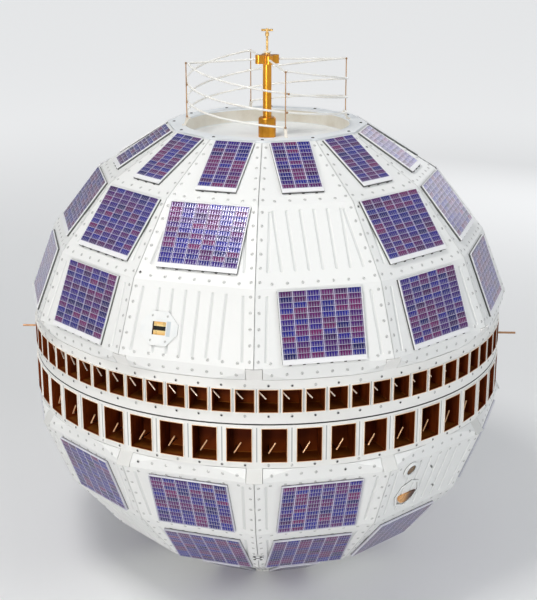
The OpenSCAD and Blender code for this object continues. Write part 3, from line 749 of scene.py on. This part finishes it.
tree, shader = new_finish("sensor_plates")
coat = plate_coat(tree)
on_sun = beside_place(tree, on_facet(*SUN_AT))
# Painted reflection: a blue patch on the sun sensor plate beside its window.
reflection_patch = spread(on_sun["Across"], 0.0125, 0.0135) * fade(on_sun["Across"], 0.019, 0.0205)
reflection_patch = reflection_patch * fade(abs(on_sun["Along"]), 0.0115, 0.013, 0.8)
tone = blend(reflection_patch, coat["Colour"], REFLECTION_BLUE)
# Painted shadow: black round the plates' feet, just above the facet.
coated(shader, coat, blend(fade(rise_over(tree, 0), 0.0007, 0.0012, 0.9), tone, MARK_AND_SHADE_BLACK))

tree, shader = new_finish("seam_fitting")
coat = plate_coat(tree)
on_fitting = beside_place(tree, on_ridge(0, 1, True, 0.0, FITTING_UP))
slot = fade(abs(on_fitting["Along"]), 0.0013, 0.0017) * fade(abs(on_fitting["Across"]), 0.0048, 0.0052)
side = spread(on_fitting["Distance"], FITTING_R, FITTING_R + 0.0002, 0.0, 0.75)
coated(shader, coat, blend(larger(slot, side), coat["Colour"], MARK_AND_SHADE_BLACK))
print("plates:", list(finish)[-2:])

# %% Sensor windows
BAND_PALE = (1.0, 0.80, 0.40)
BAND_DEEP = (0.86, 0.47, 0.13)
FOIL_LIT = (0.80, 0.40, 0.13)
FOIL_DARK = (0.07, 0.02, 0.006)
GLASS_BROWN = (0.15, 0.075, 0.02)
GLASS_RIM = (0.03, 0.015, 0.006)
SLOT_BLACK = (0.006, 0.007, 0.006)
SIDE_SHADE_BROWN = (0.035, 0.010, 0.006)
WINDOW_METALLIC = 0.3

tree, shader = new_finish("sensor_gold")
gold = metal_coat(tree, (0.92, 0.62, 0.24), (0.70, 0.38, 0.10), 60.0, 0.5, 0.3)
on_sun, on_round, on_scoop = [beside_place(tree, on_facet(*at)) for at in (SUN_AT, ROUND_AT, SCOOP_AT)]
from_middle = abs(on_sun["Along"])
near_sun = fade(on_sun["Distance"], 0.018, 0.019)
slot = fade(from_middle, 0.0033, 0.0036) * near_sun
# Painted shade down one side of the sun sensor's window.
side = fade(on_sun["Across"], -0.0095, -0.0088) * near_sun
glass = fade(on_round["Distance"], 0.012, 0.013)
rim = spread(on_round["Distance"], 0.0085, 0.0098)
# Painted light and shade: the foil goes from lit to dark across the scoop.
foil = blend(spread(on_scoop["Across"], -0.012, 0.014), FOIL_LIT, FOIL_DARK)
bands = blend(spread(from_middle, 0.0036, 0.0105), BAND_PALE, BAND_DEEP)
tone = blend(0.6, gold["Colour"], bands)
tone = blend(fade(on_scoop["Distance"], 0.024, 0.026), tone, foil)
tone = blend(glass, tone, blend(rim, GLASS_BROWN, GLASS_RIM))
tone = blend(slot, tone, SLOT_BLACK)
tone = blend(side, tone, SIDE_SHADE_BROWN)
dark = larger(larger(slot, side), glass)
coated(shader, gold, tone, METAL_BUMP, WINDOW_METALLIC - dark * WINDOW_METALLIC)
print("windows on gores", [at[0] for at in (SUN_AT, ROUND_AT, SCOOP_AT)])

# %% Ties and tip
SHELF_RISE = 0.014
NECK_H = 0.0045
CAP_CREAM = (0.86, 0.80, 0.66)
TIP_METALLIC = 0.85

tree, shader = new_finish("helix_supports")
cord = metal_coat(tree, (0.56, 0.32, 0.15), (0.28, 0.15, 0.07), 80.0, 0.5, 0.6)
foot_coat = white_coat(tree, (0.84, 0.80, 0.72), (0.66, 0.50, 0.36), 60.0, 0.6, 0.45)
shelf_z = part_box("top_ring")[1].z + SHELF_RISE
on_foot = fade(height_of(tree), shelf_z, shelf_z + 0.0008)
coated(shader, cord, blend(on_foot, cord["Colour"], foot_coat["Colour"]), CORD_BUMP)

tree, shader = new_finish("mast_tip")
gold = metal_coat(tree, (0.80, 0.52, 0.20), (0.50, 0.28, 0.08), 40.0, 0.5, 0.32)
cap_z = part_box("mast_tip")[0].z + NECK_H
z = height_of(tree)
cap = spread(z, cap_z - 0.0002, cap_z + 0.0002) * fade(z, cap_z + 0.0034, cap_z + 0.0037)
coated(shader, gold, blend(cap, gold["Colour"], CAP_CREAM), METAL_BUMP, TIP_METALLIC - cap * TIP_METALLIC)
print("shelf at", round(shelf_z, 4), "cap at", round(cap_z, 4))

# %% [markdown]
# ## Fasteners
# Hundreds of screws hold the skin. Modelling each by hand would be slow, so a Geometry Nodes tree turns one
# low head from a curve, like a lathe, and puts it on every point of a loose point cloud. Each point carries
# its own turn as an attribute, so that the heads stand square on their facets. The tree spins each head by
# chance and stores where a point lies on its head, from which the finish draws the dark slot and a ring of
# painted shade round the foot. A share of the heads has a black centre, as on the real skin. The heads on
# the top ring and on the seam fitting are all black.

# %% Node tree helpers
def shape_tree(name, inputs):
    tree = bpy.data.node_groups.new(name, "GeometryNodeTree")
    tree.interface.new_socket("Geometry", in_out="INPUT", socket_type="NodeSocketGeometry")
    given = add_inputs(tree, inputs)
    tree.interface.new_socket("Geometry", in_out="OUTPUT", socket_type="NodeSocketGeometry")
    return tree, given


def close_tree(geometry, material, smooth=True):
    """Makes instances real, shades and dresses them, and gives the tree its output."""
    tree = geometry.tree
    real = make_node(tree, "GeometryNodeRealizeInstances", {"Geometry": geometry})
    shaded = make_node(tree, "GeometryNodeSetShadeSmooth", {"Geometry": real, "Shade Smooth": smooth})
    dressed = make_node(tree, "GeometryNodeSetMaterial", {"Geometry": shaded, "Material": finish[material]})
    feed(dressed, tree.nodes.new("NodeGroupOutput").inputs["Geometry"])
    print("tree:", tree.name, len(tree.nodes), "nodes")


def store(geometry, name, kind, domain, value):
    kept = {"Geometry": geometry, "Name": name, "Value": value}
    return make_node(value.tree, "GeometryNodeStoreNamedAttribute", kept, data_type=kind, domain=domain)


def stored(tree, name, output="Fac"):
    return make_node(tree, "ShaderNodeAttribute", {}, output, attribute_name=name)


def random_value(low, high, seed):
    ends = {"Min": low, "Max": high, "Seed": seed}
    return make_node(seed.tree, "FunctionNodeRandomValue", ends, data_type="FLOAT")


def on_every_point(points, shape):
    """Instances of a shape on the points, each with the turn that its point carries."""
    turn = make_node(points.tree, "GeometryNodeInputNamedAttribute", {"Name": "turn"}, data_type="QUATERNION")
    copies = {"Points": points, "Instance": shape, "Rotation": turn}
    return make_node(points.tree, "GeometryNodeInstanceOnPoints", copies)


def turn_by_chance(instances, axis, low, high, seed):
    angles = make_node(seed.tree, "ShaderNodeCombineXYZ", {axis: random_value(low, high, seed)})
    return make_node(seed.tree, "GeometryNodeRotateInstances", {"Instances": instances, "Rotation": angles})


print("groups so far:", len(bpy.data.node_groups))


# %% Pieces from trees
def new_piece(name, points, edges=(), faces=()):
    mesh = bpy.data.meshes.new(name)
    mesh.from_pydata(points, edges, faces)
    piece = bpy.data.objects.new(name, mesh)
    scene.collection.objects.link(piece)
    return piece


def point_piece(name, places):
    """An object of loose points. A place is a point, an outward and an upward direction."""
    piece = new_piece(name, [point for point, _, _ in places])
    turns = piece.data.attributes.new("turn", "QUATERNION", "POINT")
    flat = []
    for _, outward, upward in places:
        sideways = upward.cross(outward).normalized()
        rows = Matrix((sideways, outward.cross(sideways), outward)).transposed()
        flat.extend(rows.to_quaternion())
    turns.data.foreach_set("value", flat)
    return piece


def settle(piece, tree, values):
    """Runs the tree on the piece, keeps the result as a plain mesh and takes the modifier off."""
    modifier = piece.modifiers.new(tree.name, "NODES")
    modifier.node_group = tree
    for item in tree.interface.items_tree:
        if item.in_out == "INPUT" and item.name in values:
            modifier[item.identifier] = values[item.name]
    graph = bpy.context.evaluated_depsgraph_get()
    mesh = bpy.data.meshes.new_from_object(piece.evaluated_get(graph), depsgraph=graph)
    piece.modifiers.remove(modifier)
    piece.data = mesh
    return piece


def dress(piece, name):
    piece.data.materials.clear()
    piece.data.materials.append(finish[name])


def keep(piece):
    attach(piece, "root")
    print(piece.name, len(piece.data.vertices), "vertices")


print("finishes so far:", len(finish))

# %% Screw head finish
HEAD_BUMP = (0.2, 0.0003)
HEAD_MARK_AND_SHADE = (0.20, 0.20, 0.195)
tree, shader = new_finish("fastener_grey")
coat = metal_coat(tree, (0.66, 0.66, 0.65), (0.50, 0.50, 0.49), 70.0, 0.5, 0.4)
x, y, z = axes(stored(tree, "head_place", "Vector"))
slot = fade(abs(x), 0.13, 0.19, 0.6)
# Painted shade: the head's foot is darker where it meets the skin.
foot = fade(z, 0.05, 0.2, 0.45)
tone = blend(larger(slot, foot), coat["Colour"], HEAD_MARK_AND_SHADE)
centre = fade(from_axis(x, y), 0.5, 0.66) * stored(tree, "head_black")
coated(shader, coat, blend(centre, tone, MARK_AND_SHADE_BLACK), HEAD_BUMP, 0.3)
print("screw finish reads head_place and head_black")

# %% Screw head tree
HEAD_STEPS = 6
DOME_START = 1.04
DOME_POWER = 2.2


def turned_head(tree, radius, height, sides):
    """A low domed head on the XY plane, turned from a straight line with a domed radius."""
    top = make_node(tree, "ShaderNodeCombineXYZ", {"Z": height})
    line = make_node(tree, "GeometryNodeCurvePrimitiveLine", {"End": top})
    steps = make_node(tree, "GeometryNodeResampleCurve", {"Curve": line, "Count": HEAD_STEPS})
    share = make_node(tree, "GeometryNodeSplineParameter", {})
    dome = work("SQRT", DOME_START - share ** DOME_POWER)
    circle = make_node(tree, "GeometryNodeCurvePrimitiveCircle", {"Radius": radius, "Resolution": sides})
    swept = {"Curve": steps, "Profile Curve": circle, "Scale": dome, "Fill Caps": True}
    return make_node(tree, "GeometryNodeCurveToMesh", swept)


head_tree, given = shape_tree("screw_heads", {
    "Head Radius": 0.0025, "Head Height": 0.001, "Sides": 10, "Black Share": 0.1, "Seed": 3})
head = turned_head(head_tree, given["Head Radius"], given["Head Height"], given["Sides"])
where = make_node(head_tree, "GeometryNodeInputPosition", {})
extent = make_node(head_tree, "ShaderNodeCombineXYZ", {
    "X": given["Head Radius"], "Y": given["Head Radius"], "Z": given["Head Height"]})
on_head = vector_work("DIVIDE", where, extent)
marked = store(head, "head_place", "FLOAT_VECTOR", "POINT", on_head)
heads = on_every_point(given["Geometry"], marked)
heads = turn_by_chance(heads, "Z", 0.0, math.pi, given["Seed"])
drawn = random_value(0.0, 1.0, given["Seed"])
black = work("LESS_THAN", drawn, given["Black Share"])
heads = store(heads, "head_black", "FLOAT", "INSTANCE", black)
close_tree(heads, "fastener_grey")

# %% Skin screws
SEAM_OFFSET = 0.0072
FOLD_OFFSET = 0.008
END_OFFSET = 0.012
SCREW_PITCH = 0.027
CORNER_CLEAR = 0.02
SUNK = 0.0003
BAND_Z = 0.088
BAND_SCREWS = 8
BAND_PITCH = 0.025
FITTING_CLEAR = 0.014
fitting_at = on_ridge(0, 1, True, 0.0, FITTING_UP)[0]


def even_steps(low, high, pitch):
    count = max(1, round((high - low) / pitch))
    return [low + (high - low) * n / count for n in range(count + 1)]


def skin_places(lower):
    """Screws up both sides of each facet, along its fold, and along the band beside the belt."""
    places = []
    for k in range(GORES):
        for i in range(FACETS):
            for up in even_steps(END_OFFSET, facet_len[i] - END_OFFSET, SCREW_PITCH):
                for side in (-1, 1):
                    across = side * (half_width(i, up) - SEAM_OFFSET)
                    places.append(on_facet(k, i, lower, across, up, -SUNK))
            reach = half_width(i, FOLD_OFFSET) - SEAM_OFFSET - CORNER_CLEAR
            for across in even_steps(-reach, reach, SCREW_PITCH):
                places.append(on_facet(k, i, lower, across, FOLD_OFFSET, -SUNK))
        for n in range(BAND_SCREWS):
            across = (n - (BAND_SCREWS - 1) / 2) * BAND_PITCH
            places.append(leaning_place(gore_azimuth(k), (SHOULDER_R - SUNK, BAND_Z), 0.0, lower, across))
    return places


def screws(name, places, radius, height, marks, look=None):
    values = {"Head Radius": radius, "Head Height": height, **marks}
    piece = settle(point_piece(name, places), head_tree, values)
    if look:
        dress(piece, look)
    keep(piece)


for name, lower in (("upper_skin_screws", False), ("lower_skin_screws", True)):
    clear = [place for place in skin_places(lower) if (place[0] - fitting_at).length > FITTING_CLEAR]
    screws(name, clear, 0.0029, 0.0011, {"Black Share": 0.04, "Seed": 3 + lower})

# %% Belt and ring screws
BELT_R = 0.438
BELT_SCREWS = 72
BELT_SCREW_ROWS = (0.0675, 0.0145, -0.0722)
RING_SCREW_R = 0.172
UP = Vector((0, 0, 1))

places = [
    leaning_place(FRONT + PORT_TURN + (p + 0.5) * 2 * math.pi / BELT_SCREWS, (BELT_R - SUNK, z))
    for p in range(BELT_SCREWS) for z in BELT_SCREW_ROWS]
screws("belt_screws", places, 0.0028, 0.0012, {"Black Share": 0.85, "Seed": 8})

top_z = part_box("top_ring")[1].z
places = []
for k in range(GORES):
    azimuth = FRONT + k * GORE_TURN
    outward = Vector((math.cos(azimuth), math.sin(azimuth), 0))
    places.append((outward * RING_SCREW_R + UP * (top_z - SUNK), UP, outward))
screws("ring_screws", places, 0.0030, 0.0018, {}, "clip_black")

# %% Fitting and sensor screws
FITTING_T = 0.0025
FITTING_SCREW = 0.0056
SUN_PLATE_T = 0.002
SUN_SCREW_ACROSS = 0.013
SUN_SCREW_UP = 0.0205

places = [
    on_ridge(0, 1, True, x, FITTING_UP + y, FITTING_T - SUNK)
    for x in (-FITTING_SCREW, FITTING_SCREW) for y in (-FITTING_SCREW, FITTING_SCREW)]
screws("fitting_screws", places, 0.0028, 0.0012, {}, "clip_black")

k, i, lower, across, up = SUN_AT
places = [
    on_facet(k, i, lower, across + x, up + y, SUN_PLATE_T - SUNK)
    for y in (-SUN_SCREW_UP, SUN_SCREW_UP) for x in (-SUN_SCREW_ACROSS, SUN_SCREW_ACROSS)]
screws("sensor_screws", places, 0.0022, 0.0012, {"Black Share": 0.0})

# %% [markdown]
# ## Solar cells
# Each panel holds columns of small glass-covered cells, no two of quite the same colour. In the CAD model a
# column is one strip. A picture of cells could be wrapped on it, but would repeat. Here a tree puts one
# thin tile on each cell's place, tips it by a fraction of a degree and stores two attributes: where a point
# lies on its cell, and a random tint. The finish draws the pale edges and the tapering metal fingers from
# the first, and picks blue, violet or magenta from the second.

# %% Cell finish
FINGERS = 5
FINGER_SHARE = 0.65
FINGER_METALLIC = 0.9
FINGER_BUMP = (0.2, 0.0002)
CELL_NIGHT = (0.008, 0.006, 0.05)
FINGER_LILAC = (0.68, 0.64, 0.86)
BORDER_LILAC = (0.66, 0.63, 0.80)
stops = [(0.0, (0.008, 0.007, 0.085)), (0.22, (0.013, 0.015, 0.27)), (0.42, (0.032, 0.009, 0.18)),
         (0.60, (0.062, 0.007, 0.125)), (0.80, (0.17, 0.011, 0.105)), (1.0, (0.030, 0.005, 0.075))]

tree, shader = new_finish("solar_blue")
x, y, _ = axes(stored(tree, "cell_place", "Vector"))
ramp = tree.nodes.new("ShaderNodeValToRGB")
while len(ramp.color_ramp.elements) < len(stops):
    ramp.color_ramp.elements.new(0.5)
for element, (at, colour) in zip(ramp.color_ramp.elements, stops):
    element.position = at
    element.color = (*colour, 1)
feed(stored(tree, "cell_tint"), ramp.inputs["Fac"])
from_finger = abs(work("FRACT", x * float(FINGERS)) - 0.5)
finger = spread(spread(y, 0.1, 0.95, 0.21, 0.04) - from_finger, -0.05, 0.05)
edge = larger(fade(y, 0.03, 0.06), spread(abs(x - 0.5), 0.484, 0.492))
printed = finger * (FINGER_SHARE - edge * FINGER_SHARE)
mottled = noise(object_place(tree), 160.0)
tone = blend(spread(mottled, 0.35, 0.7, 0.0, 0.4), Signal(tree, ramp.outputs["Color"]), CELL_NIGHT)
tone = blend(printed, tone, FINGER_LILAC)
feed(blend(edge, tone, BORDER_LILAC), shader.inputs["Base Color"])
feed(spread(mottled, 0.3, 0.7, 0.13, 0.20), shader.inputs["Roughness"])
feed(printed * FINGER_METALLIC, shader.inputs["Metallic"])
feed(0.22, shader.inputs["Specular IOR Level"])
bump(printed, shader, *FINGER_BUMP)
print("cell finish with", FINGERS, "fingers")

# %% Cell tree
cell_tree, given = shape_tree("solar_cells", {
    "Cell Width": 0.0212, "Cell Height": 0.0086, "Cell Thickness": 0.0009, "Tip": 0.006, "Seed": 7})
size = make_node(cell_tree, "ShaderNodeCombineXYZ", {
    "X": given["Cell Width"], "Y": given["Cell Height"], "Z": given["Cell Thickness"]})
tile = make_node(cell_tree, "GeometryNodeMeshCube", {"Size": size})
where = make_node(cell_tree, "GeometryNodeInputPosition", {})
shared = vector_work("ADD", vector_work("DIVIDE", where, size), (0.5, 0.5, 0.5))
marked = store(tile, "cell_place", "FLOAT_VECTOR", "POINT", shared)
tiles = on_every_point(given["Geometry"], marked)
tiles = turn_by_chance(tiles, "X", given["Tip"] * -1.0, given["Tip"], given["Seed"])
tint = random_value(0.0, 1.0, given["Seed"])
tiles = store(tiles, "cell_tint", "FLOAT", "INSTANCE", tint)
close_tree(tiles, "solar_blue", smooth=False)

# %% Cells in their trays
BARE = [[], [0, 6], [5, 11], [1, 7], [4, 10], [1, 4, 7, 10]]
COLUMNS = [3, 6, 6, 6, 6, 3]
UPPER_ROWS = range(FACETS)
LOWER_ROWS = range(FACETS, 2 * FACETS)
CELL_ROWS = 12
CELL_PITCH_W = 0.0228
CELL_PITCH_H = 0.0091
CELL_GAP = 0.0008
ROW_GAP = 0.0003
TRAY_T = 0.005
POCKET_D = 0.001
STRIP_T = 0.0009
CELL_OUT = TRAY_T - POCKET_D + STRIP_T / 2
TRAY_BORDER = 0.0015
TRAY_LIP = 0.008
TRAY_EDGE = 0.0045
FIELD_H = CELL_ROWS * CELL_PITCH_H
TRAY_H = TRAY_BORDER + FIELD_H + TRAY_LIP


def panels(rows):
    """Each panel of some rows: gore, facet, half, its columns' places, and the height of its tray's foot."""
    for row in rows:
        lower = row >= FACETS
        i = row - FACETS if lower else FACETS - 1 - row
        columns = [(c + 0.5 - COLUMNS[row] / 2) * CELL_PITCH_W for c in range(COLUMNS[row])]
        for k in range(GORES):
            if k not in BARE[row]:
                yield k, i, lower, columns, facet_len[i] - TRAY_EDGE - TRAY_H


values = {
    "Cell Width": CELL_PITCH_W - CELL_GAP, "Cell Height": CELL_PITCH_H - ROW_GAP, "Cell Thickness": STRIP_T}
for half, rows in (("upper", UPPER_ROWS), ("lower", LOWER_ROWS)):
    places = [
        on_facet(k, i, lower, across, foot + TRAY_LIP + (r + 0.5) * CELL_PITCH_H, CELL_OUT)
        for k, i, lower, columns, foot in panels(rows) for across in columns for r in range(CELL_ROWS)]
    piece = settle(point_piece(half + "_solar_cells", places), cell_tree, values)
    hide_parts(half + "_panel_cells")
    keep(piece)

# %% [markdown]
# ## Lower trays and clips
# Below the belts the panels have no lip at the foot, so plainer trays stand in for the CAD model's: a slab
# whose face is inset and pushed down into a pocket. They could be cut with a Boolean, but two extrusions
# leave cleaner faces. Above the belts small dark clips hold the foot of each tray, one under each column.
# They are plain blocks, and another small tree repeats them.

# %% Lower trays
tray_tree, given = shape_tree("edged_trays", {
    "Tray Size": (0.14, 0.11, 0.005), "Rim Share": 0.986, "Pocket": -0.001})
slab = make_node(tray_tree, "GeometryNodeMeshCube", {"Size": given["Tray Size"]})
facing = axes(make_node(tray_tree, "GeometryNodeInputNormal", {}))[2]
rim = make_node(tray_tree, "GeometryNodeExtrudeMesh", {
    "Mesh": slab, "Selection": work("GREATER_THAN", facing, 0.5), "Offset Scale": 0.0})
face = Signal(tray_tree, rim.socket.node.outputs["Top"])
inset = make_node(tray_tree, "GeometryNodeScaleElements", {
    "Geometry": rim, "Selection": face, "Scale": given["Rim Share"]})
pocket = make_node(tray_tree, "GeometryNodeExtrudeMesh", {
    "Mesh": inset, "Selection": face, "Offset Scale": given["Pocket"]})
close_tree(on_every_point(given["Geometry"], pocket), "panel_trays_row_4", smooth=False)

for row in LOWER_ROWS:
    node = f"panel_trays_row_{row + 1}"
    size = (COLUMNS[row] * CELL_PITCH_W + 2 * TRAY_BORDER, FIELD_H + 2 * TRAY_BORDER, TRAY_T + SUNK)
    places = [
        on_facet(k, i, lower, 0.0, foot + TRAY_LIP + FIELD_H / 2, TRAY_T / 2 - SUNK / 2)
        for k, i, lower, _, foot in panels([row])]
    piece = settle(point_piece(f"edged_trays_row_{row + 1}", places), tray_tree, {"Tray Size": size})
    dress(piece, node)
    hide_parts(node)
    keep(piece)

# %% Clips
CLIP_DROP = 0.0009
CLIP_OUT = 0.0011
clip_tree, given = shape_tree("tray_clips", {"Clip Size": (0.0040, 0.0016, 0.0020)})
block = make_node(clip_tree, "GeometryNodeMeshCube", {"Size": given["Clip Size"]})
close_tree(on_every_point(given["Geometry"], block), "clip_black", smooth=False)

places = [
    on_facet(k, i, lower, across, foot - CLIP_DROP, CLIP_OUT)
    for k, i, lower, columns, foot in panels(UPPER_ROWS) for across in columns]
keep(settle(point_piece("tray_clips", places), clip_tree, {}))

# %% [markdown]
# ## Helix wires
# Four white wires leave the hub, turn at the rim and wind down to the ring. The CAD wires are faceted.
# Smooth shading would soften them a little, but their outline would keep its corners. So the same line is
# drawn here as an open run of edges with finer steps, and a tree sweeps a round profile along it. Small tan
# knots mark where cords hold the wires.

# %% Wire tree
wire_tree, given = shape_tree("swept_wire", {"Wire Radius": 0.0019, "Sides": 12})
curve = make_node(wire_tree, "GeometryNodeMeshToCurve", {"Mesh": given["Geometry"]})
circle = make_node(wire_tree, "GeometryNodeCurvePrimitiveCircle", {
    "Radius": given["Wire Radius"], "Resolution": given["Sides"]})
swept = {"Curve": curve, "Profile Curve": circle, "Fill Caps": True}
close_tree(make_node(wire_tree, "GeometryNodeCurveToMesh", swept), "wire_white")

# %% Wires
WIRES = 4
FIRST_ARM = math.radians(15)
HELIX_R = 0.146
WIRE_D = 0.0038
HUB_HALF_SPAN = 0.022
SOCKET_DEPTH = 0.008
WIRE_SEAT = HUB_HALF_SPAN - SOCKET_DEPTH
ARM_DROP = 0.003
BEND_R = 0.008
SAG_SHARE = 0.07
WIRE_TURN = math.radians(270)
END_RISE = 0.016
BEND_STEPS = 8
COIL_STEPS = 96
hub_low, hub_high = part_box("mast_hub")
wire_top = (hub_low.z + hub_high.z) / 2
bend_z = wire_top - ARM_DROP
wire_end = top_z + END_RISE


def wire_line(w):
    """The line of a wire: out along its drooping arm, round a bend, and down the helix."""
    points = [(WIRE_SEAT, 0, wire_top), (HUB_HALF_SPAN + WIRE_D, 0, wire_top), (HELIX_R - BEND_R, 0, bend_z)]
    for n in range(1, BEND_STEPS):
        t = math.pi / 2 * n / BEND_STEPS
        points.append((HELIX_R - BEND_R + BEND_R * math.sin(t), BEND_R * (1 - math.cos(t)), bend_z))
    bend = BEND_R / HELIX_R
    for n in range(COIL_STEPS + 1):
        t = n / COIL_STEPS
        a = bend + (WIRE_TURN - bend) * t
        fallen = t + SAG_SHARE * math.sin(math.pi * t)
        points.append((HELIX_R * math.cos(a), HELIX_R * math.sin(a), bend_z + (wire_end - bend_z) * fallen))
    turn = Matrix.Rotation(FIRST_ARM + w * 2 * math.pi / WIRES, 3, "Z")
    return [turn @ Vector(p) for p in points]


lines = [wire_line(w) for w in range(WIRES)]
for w, line in enumerate(lines):
    piece = new_piece(f"smooth_wire_{w + 1}", line, [(n, n + 1) for n in range(len(line) - 1)])
    settle(piece, wire_tree, {"Wire Radius": WIRE_D / 2})
    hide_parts(f"helix_wire_{w + 1}")
    keep(piece)

# %% Knots where the ties hold the wires
KNOT_R = 0.0022
TIE_HALF = 0.001
TIE_R = HELIX_R + WIRE_D / 2 + TIE_HALF
knot_tree, given = shape_tree("tie_knots", {"Knot Radius": 0.003})
ball = make_node(knot_tree, "GeometryNodeMeshIcoSphere", {"Radius": given["Knot Radius"], "Subdivisions": 2})
close_tree(on_every_point(given["Geometry"], ball), "support_tan")

places = []
for line in lines:
    coil = line[-COIL_STEPS - 1:]
    for at in (line[2], coil[COIL_STEPS // 3], coil[2 * COIL_STEPS // 3], coil[COIL_STEPS]):
        outward = Vector((at.x, at.y, 0)).normalized()
        places.append((outward * TIE_R + UP * at.z, outward, UP))
keep(settle(point_piece("tie_knots", places), knot_tree, {"Knot Radius": KNOT_R}))

# %% [markdown]
# ## Dressing the CAD nodes
# Each CAD node is one part of the satellite, and its record names a material slot. One material could hold
# all marks, but would be hard to read. So a node with marks in its own places has a finish of its own name,
# and every other node takes the finish of its slot.

# %% Dress the CAD nodes
for name, part in nodes.items():
    dress(part, name if name in finish else slot_of[name])
print("dressed:", len(nodes), "nodes,", sum(name in finish for name in nodes), "in a finish of their own")

# %% [markdown]
# ## Floor and hand-over
# The floor is a wide pale plane just under the bottom ring. It is part of the stage, not of the satellite.
# A white picture could stand behind it, but a glow that grows with the distance keeps the shadow under the
# ball and makes the far floor pale, also in mirrors.

# %% Floor
FLOOR_HALF = 20
FLOOR_GREY = (0.76, 0.765, 0.77)
FLOOR_DROP = 0.0005
corners = [(x * FLOOR_HALF, y * FLOOR_HALF, 0) for x, y in ((-1, -1), (1, -1), (1, 1), (-1, 1))]
floor = new_piece("floor", corners, faces=[(0, 1, 2, 3)])

tree, shader = new_finish("pale_floor")
feed(FLOOR_GREY, shader.inputs["Base Color"])
feed((1.0, 1.0, 1.0), shader.inputs["Emission Color"])
feed(0.8, shader.inputs["Roughness"])
span = vector_work("LENGTH", object_place(tree))
rays = tree.nodes.new("ShaderNodeLightPath")
straight, mirrored, through = [
    Signal(tree, rays.outputs[f"Is {kind} Ray"]) for kind in ("Camera", "Glossy", "Transmission")]
seen = capped_sum(straight + mirrored, through)
feed(spread(span, 0.9, 5.0, 0.10, 0.50) * seen, shader.inputs["Emission Strength"])
dress(floor, "pale_floor")
floor.location.z = cad_box[0][2] - FLOOR_DROP
print("floor at", round(floor.location.z, 4))

# %% Hand over
bpy.context.view_layer.update()
